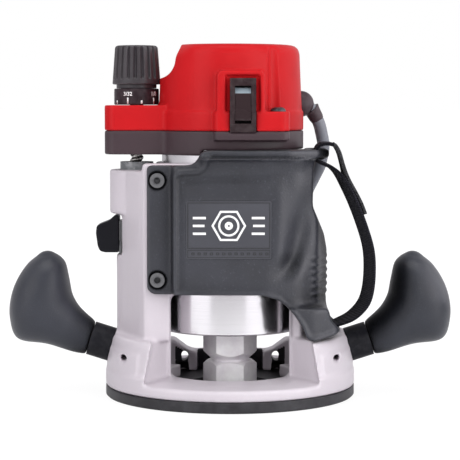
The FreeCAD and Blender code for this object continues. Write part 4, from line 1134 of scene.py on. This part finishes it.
# ========================================================= name plate printing
PRINT_Y = (-49.52, -49.36)  # front and back of the print
MARK_X, MARK_Z = -0.7, 106.4
BAR_PITCH = 4.6
BAR_HALF_HEIGHT = 0.7
BAR_STARTS = (13.4, 14.2, 13.4)  # from the mark's middle, lowest bar first
BAR_END = 21.0
PLATE_LEFT, PLATE_RIGHT = -24.9, 23.5


def band(outer, inner):
    """A flat solid band between two outlines of (x, z) points."""
    verts = [(x, y, z) for y in PRINT_Y for x, z in outer + inner]
    count = len(outer)
    faces = []
    for j in range(count):
        k = (j + 1) % count
        # first point of each outline: outer front, inner front, outer back, inner back
        for near, far in ((0, 1), (2, 3), (0, 2), (1, 3)):
            near, far = near * count, far * count
            faces.append((near + j, near + k, far + k, far + j))
    return verts, faces


def outline(corners, per_side):
    points = []
    for (x0, z0), (x1, z1) in zip(corners, corners[1:] + corners[:1]):
        points += [(x0 + (x1 - x0) * i / per_side, z0 + (z1 - z0) * i / per_side)
                   for i in range(per_side)]
    return points


def mark_circle(radius, count):
    angles = [TURN * k / count for k in range(count)]
    return [(MARK_X + radius * math.cos(a), MARK_Z + radius * math.sin(a)) for a in angles]


def mark_hexagon(radius):
    return outline(mark_circle(radius, 6), 8)


def rectangle_band(x0, x1, z0, z1, width):
    def rectangle(inset):
        left, right, low, high = x0 + inset, x1 - inset, z0 + inset, z1 - inset
        return outline([(left, low), (right, low), (right, high), (left, high)], 4)
    return band(rectangle(0), rectangle(width))


def bar(side, k):
    """A solid bar beside the mark."""
    x0, x1 = MARK_X + side * BAR_STARTS[k], MARK_X + side * BAR_END
    middle = MARK_Z + (k - 1) * BAR_PITCH
    low, high = middle - BAR_HALF_HEIGHT, middle + BAR_HALF_HEIGHT
    corners = [(x0, low), (x1, low), (x1, high), (x0, high)]
    verts = [(x, y, z) for y in PRINT_Y for x, z in corners]
    faces = [(0, 1, 2, 3), (4, 7, 6, 5)]
    faces += [(j, 4 + j, 4 + (j + 1) % 4, (j + 1) % 4) for j in range(4)]
    return verts, faces


def build_mark():
    """The outline of a collet nut seen from below, with three bars on each side."""
    parts = [band(mark_hexagon(10.2), mark_hexagon(8.8))]
    parts += [band(mark_circle(outer, 48), mark_circle(inner, 48))
              for outer, inner in ((6.2, 5.0), (2.4, 0.6))]
    parts += [bar(side, k) for side in (-1, 1) for k in range(3)]
    new_piece("plate_white_mark", join(parts), "mark", "base", smooth=False)


def build_plate_border():
    """Thin border round the plate, a strip below it and a row of small boxes in the strip."""
    parts = [rectangle_band(PLATE_LEFT, PLATE_RIGHT, 93.0, 120.1, width=0.5),
             rectangle_band(PLATE_LEFT, PLATE_RIGHT, 87.6, 92.3, width=0.4)]
    for k in range(13):
        left = -22.6 + 3.6 * k
        parts.append(rectangle_band(left, left + 1.9, 89.2, 90.8, width=0.5))
    new_piece("plate_border", join(parts), "mark_grey", "base", smooth=False)


build_mark()
build_plate_border()


# ======================================================== smaller loose pieces
def paint_switch_highlight():
    """The large face near the top of the rocker that looks up and forward gets a painted
    highlight, a light grey for the light from above.
    """
    mesh = NODES["switch_rocker"].data
    mesh.materials.append(LOOKS["switch_highlight"])
    for face in mesh.polygons:
        looks_up_forward = face.normal.z > 0.25 and face.normal.y < -0.2
        if face.center.z / MILLI > 180.5 and looks_up_forward and face.area > 1.5e-6:
            face.material_index = 1


def build_spindle_thread():
    """Right-hand thread crests in the gap between the hexagon and the collet nut."""
    pitch, per_turn, turns, fade_steps = 1.5, 64, 2.7, 16
    root, crest = 11.5, 12.05
    rings = []
    for i in range(int(per_turn * turns) + 1):
        turn = i / per_turn
        angle = TURN * turn
        rise = min(1.0, i / fade_steps, (per_turn * turns - i) / fade_steps)
        top = crest * rise + root * (1 - rise)
        section = ((11.45, -0.62), (11.62, -0.5), (top, -0.12),
                   (top, 0.12), (11.62, 0.5), (11.45, 0.62))
        rings.append([(radius * math.cos(angle), radius * math.sin(angle),
                       20.75 + pitch * turn + offset) for radius, offset in section])
    new_piece("spindle_nose_thread", skin(rings), "steel", "rotor", sharp=40)


paint_switch_highlight()
build_spindle_thread()
remeshed("moulded_clamp_lever", "clamp_lever", voxel=0.5, smoothing=7, look="ferrule",
         body="lever")


# ============================================================ stage and lights
scene = bpy.context.scene
scene.view_settings.view_transform = "Standard"
scene.view_settings.look = "None"
scene.view_settings.exposure = 0.0


def build_floor():
    """To the camera the floor mostly glows, more so away from the tool."""
    floor = bpy.data.objects.new("floor", bpy.data.meshes.new("floor"))
    bm = bmesh.new()
    bmesh.ops.create_grid(bm, x_segments=2, y_segments=2, size=40.0)
    bm.to_mesh(floor.data)
    bm.free()
    scene.collection.objects.link(floor)
    floor.location.z = -0.0002
    mat = Mat("studio_floor", (0.80, 0.80, 0.81), rough=0.6, spec=0.2)
    mat.color(mat.mix(mat.noise(scale=3, detail=2), (0.78, 0.78, 0.79), (0.82, 0.82, 0.83)))
    glow = mat.node("ShaderNodeEmission")
    distance = mat.node("ShaderNodeVectorMath", operation="LENGTH")
    mat.link(mat.coords, distance.inputs[0])
    # distance scaled by 2.2, held at 1 with a soft knee of 0.3
    reach = mat.math("SMOOTH_MIN", mat.times(distance.outputs["Value"], 2.2), 1.0, 0.3)
    mat.link(mat.span(reach, lo=1.03, hi=1.16), glow.inputs["Strength"])
    blend = mat.node("ShaderNodeMixShader")
    light_path = mat.node("ShaderNodeLightPath")
    mat.link(mat.times(light_path.outputs["Is Camera Ray"], 0.87), blend.inputs[0])
    mat.link(mat.shader.outputs[0], blend.inputs[1])
    mat.link(glow.outputs[0], blend.inputs[2])
    mat.link(blend.outputs[0], mat.output.inputs[0])
    set_material(floor, mat.material)


def build_world():
    """White to the camera, dim and cool as a light."""
    world = bpy.data.worlds.new("studio")
    scene.world = world
    world.use_nodes = True
    nodes, links = world.node_tree.nodes, world.node_tree.links
    nodes.clear()
    output = nodes.new("ShaderNodeOutputWorld")
    ambient = nodes.new("ShaderNodeBackground")
    backdrop = nodes.new("ShaderNodeBackground")
    blend = nodes.new("ShaderNodeMixShader")
    light_path = nodes.new("ShaderNodeLightPath")
    ambient.inputs["Color"].default_value = (0.80, 0.80, 0.84, 1)
    ambient.inputs["Strength"].default_value = 0.30
    backdrop.inputs["Color"].default_value = (1, 1, 1, 1)
    backdrop.inputs["Strength"].default_value = 1.0
    links.new(light_path.outputs["Is Camera Ray"], blend.inputs[0])
    links.new(ambient.outputs[0], blend.inputs[1])
    links.new(backdrop.outputs[0], blend.inputs[2])
    links.new(blend.outputs[0], output.inputs[0])


TOOL_MIDDLE = (0, 0, 0.09)
# name, azimuth in degrees (0 is in front, positive towards +X), height, distance from
# the Z axis, panel width, panel height, power in watts, point aimed at
SOFTBOXES = [
    ("box_left", -46, 0.62, 1.25, 0.62, 1.1, 7.6, TOOL_MIDDLE),
    ("box_right", 40, 0.60, 1.25, 0.60, 1.1, 8.0, TOOL_MIDDLE),
    ("box_right_low", 62, 0.16, 1.2, 0.30, 0.32, 2.6, TOOL_MIDDLE),
    ("box_top", 0, 1.35, 0.35, 1.5, 1.1, 9.5, TOOL_MIDDLE),
    ("box_front_low", 4, 0.50, 1.30, 0.7, 0.25, 2.4, (0, -0.02, 0.02)),
    ("box_back_left", -140, 0.9, 1.1, 0.9, 0.9, 4, TOOL_MIDDLE),
    ("box_back_right", 140, 0.9, 1.1, 0.9, 0.9, 4, TOOL_MIDDLE),
]


def build_softboxes():
    for name, azimuth, height, distance, size_x, size_y, power, target in SOFTBOXES:
        angle = math.radians(azimuth)
        light = bpy.data.lights.new(name, "AREA")
        light.shape = "RECTANGLE"
        light.size, light.size_y = size_x, size_y
        light.energy = power
        obj = link_object(name, light)
        obj.location = (distance * math.sin(angle), -distance * math.cos(angle), height)
        aim = Vector(target) - obj.location
        obj.rotation_euler = aim.to_track_quat("-Z", "Y").to_euler()


DRUM_SIDES = 96
DRUM_RADIUS = 0.46
DRUM_FOOT, DRUM_TOP = 0.001, 0.75
# Brightness round the drum: azimuth in degrees as for the softboxes, level
LOW_CARDS = [(-180, 0.42), (-130, 0.72), (-100, 0.66), (-69, 0.60), (-66, 1.0), (-33, 1.0),
             (-30, 0.52), (24, 0.55), (27, 1.0), (70, 1.0), (73, 0.02), (102, 0.02),
             (108, 0.55), (150, 0.60), (180, 0.42)]
HIGH_CARDS = [(-180, 0.20), (-120, 0.24), (-80, 0.30), (-60, 0.42), (-35, 0.36), (-20, 0.10),
              (14, 0.12), (40, 0.55), (58, 1.0), (104, 1.0), (122, 0.40), (180, 0.25)]


def card_material():
    mat = Mat("card_light")
    azimuth = mat.math("ARCTAN2", mat.axis("X"), mat.times(mat.axis("Y"), -1.0))
    around = mat.math("MULTIPLY_ADD", azimuth, 1 / TURN, 0.5)

    def card_ramp(cards):
        return mat.ramp(around, [((angle + 180) / 360, level) for angle, level in cards])

    low = card_ramp(LOW_CARDS)
    glow = mat.node("ShaderNodeEmission")
    mat.link(mat.mix(0.5, (0.97, 0.95, 1.0), (1.0, 0.97, 1.0)), glow.inputs["Color"])
    fade = mat.ramp(mat.times(mat.axis("Z"), 1 / DRUM_TOP), [(0.0, 1.0), (0.55, 1.0), (1.0, 0.25)])
    high = mat.times(card_ramp(HIGH_CARDS), 1.9)
    # the low cards give way to the high ones between these heights
    change = mat.rise(mat.axis("Z"), lo=0.045, hi=0.10)
    both = mat.math("MULTIPLY_ADD", mat.math("SUBTRACT", high, low), change, low)
    mat.link(mat.times(mat.times(both, fade), 1.18), glow.inputs["Strength"])
    mat.link(glow.outputs[0], mat.output.inputs[0])
    return mat.material


def build_reflection_drum():
    """Light and dark cards all round the tool, seen only in reflections."""
    mesh = bpy.data.meshes.new("cards")
    bm = bmesh.new()
    angles = [TURN * j / DRUM_SIDES for j in range(DRUM_SIDES)]
    low, high = (
        [bm.verts.new((DRUM_RADIUS * math.cos(a), DRUM_RADIUS * math.sin(a), z)) for a in angles]
        for z in (DRUM_FOOT, DRUM_TOP))
    for j in range(DRUM_SIDES):
        k = (j + 1) % DRUM_SIDES
        bm.faces.new((low[j], low[k], high[k], high[j]))
    bm.to_mesh(mesh)
    bm.free()
    drum = link_object("reflection_cards", mesh)
    set_material(drum, card_material())
    for ray in ("camera", "diffuse", "shadow", "transmission", "volume_scatter"):
        setattr(drum, "visible_" + ray, False)


def build_camera():
    """In front of the tool, tipped down a little."""
    lens = bpy.data.cameras.new("camera")
    camera = link_object("camera", lens)
    camera.location = (0.0, -1.057, 0.178)
    camera.rotation_euler = (math.radians(90 - 4.2), 0, 0)
    lens.sensor_width = 36.0
    lens.lens = 135.36
    lens.clip_start = 0.05
    lens.clip_end = 50
    scene.camera = camera


build_floor()
build_world()
build_softboxes()
build_reflection_drum()
build_camera()
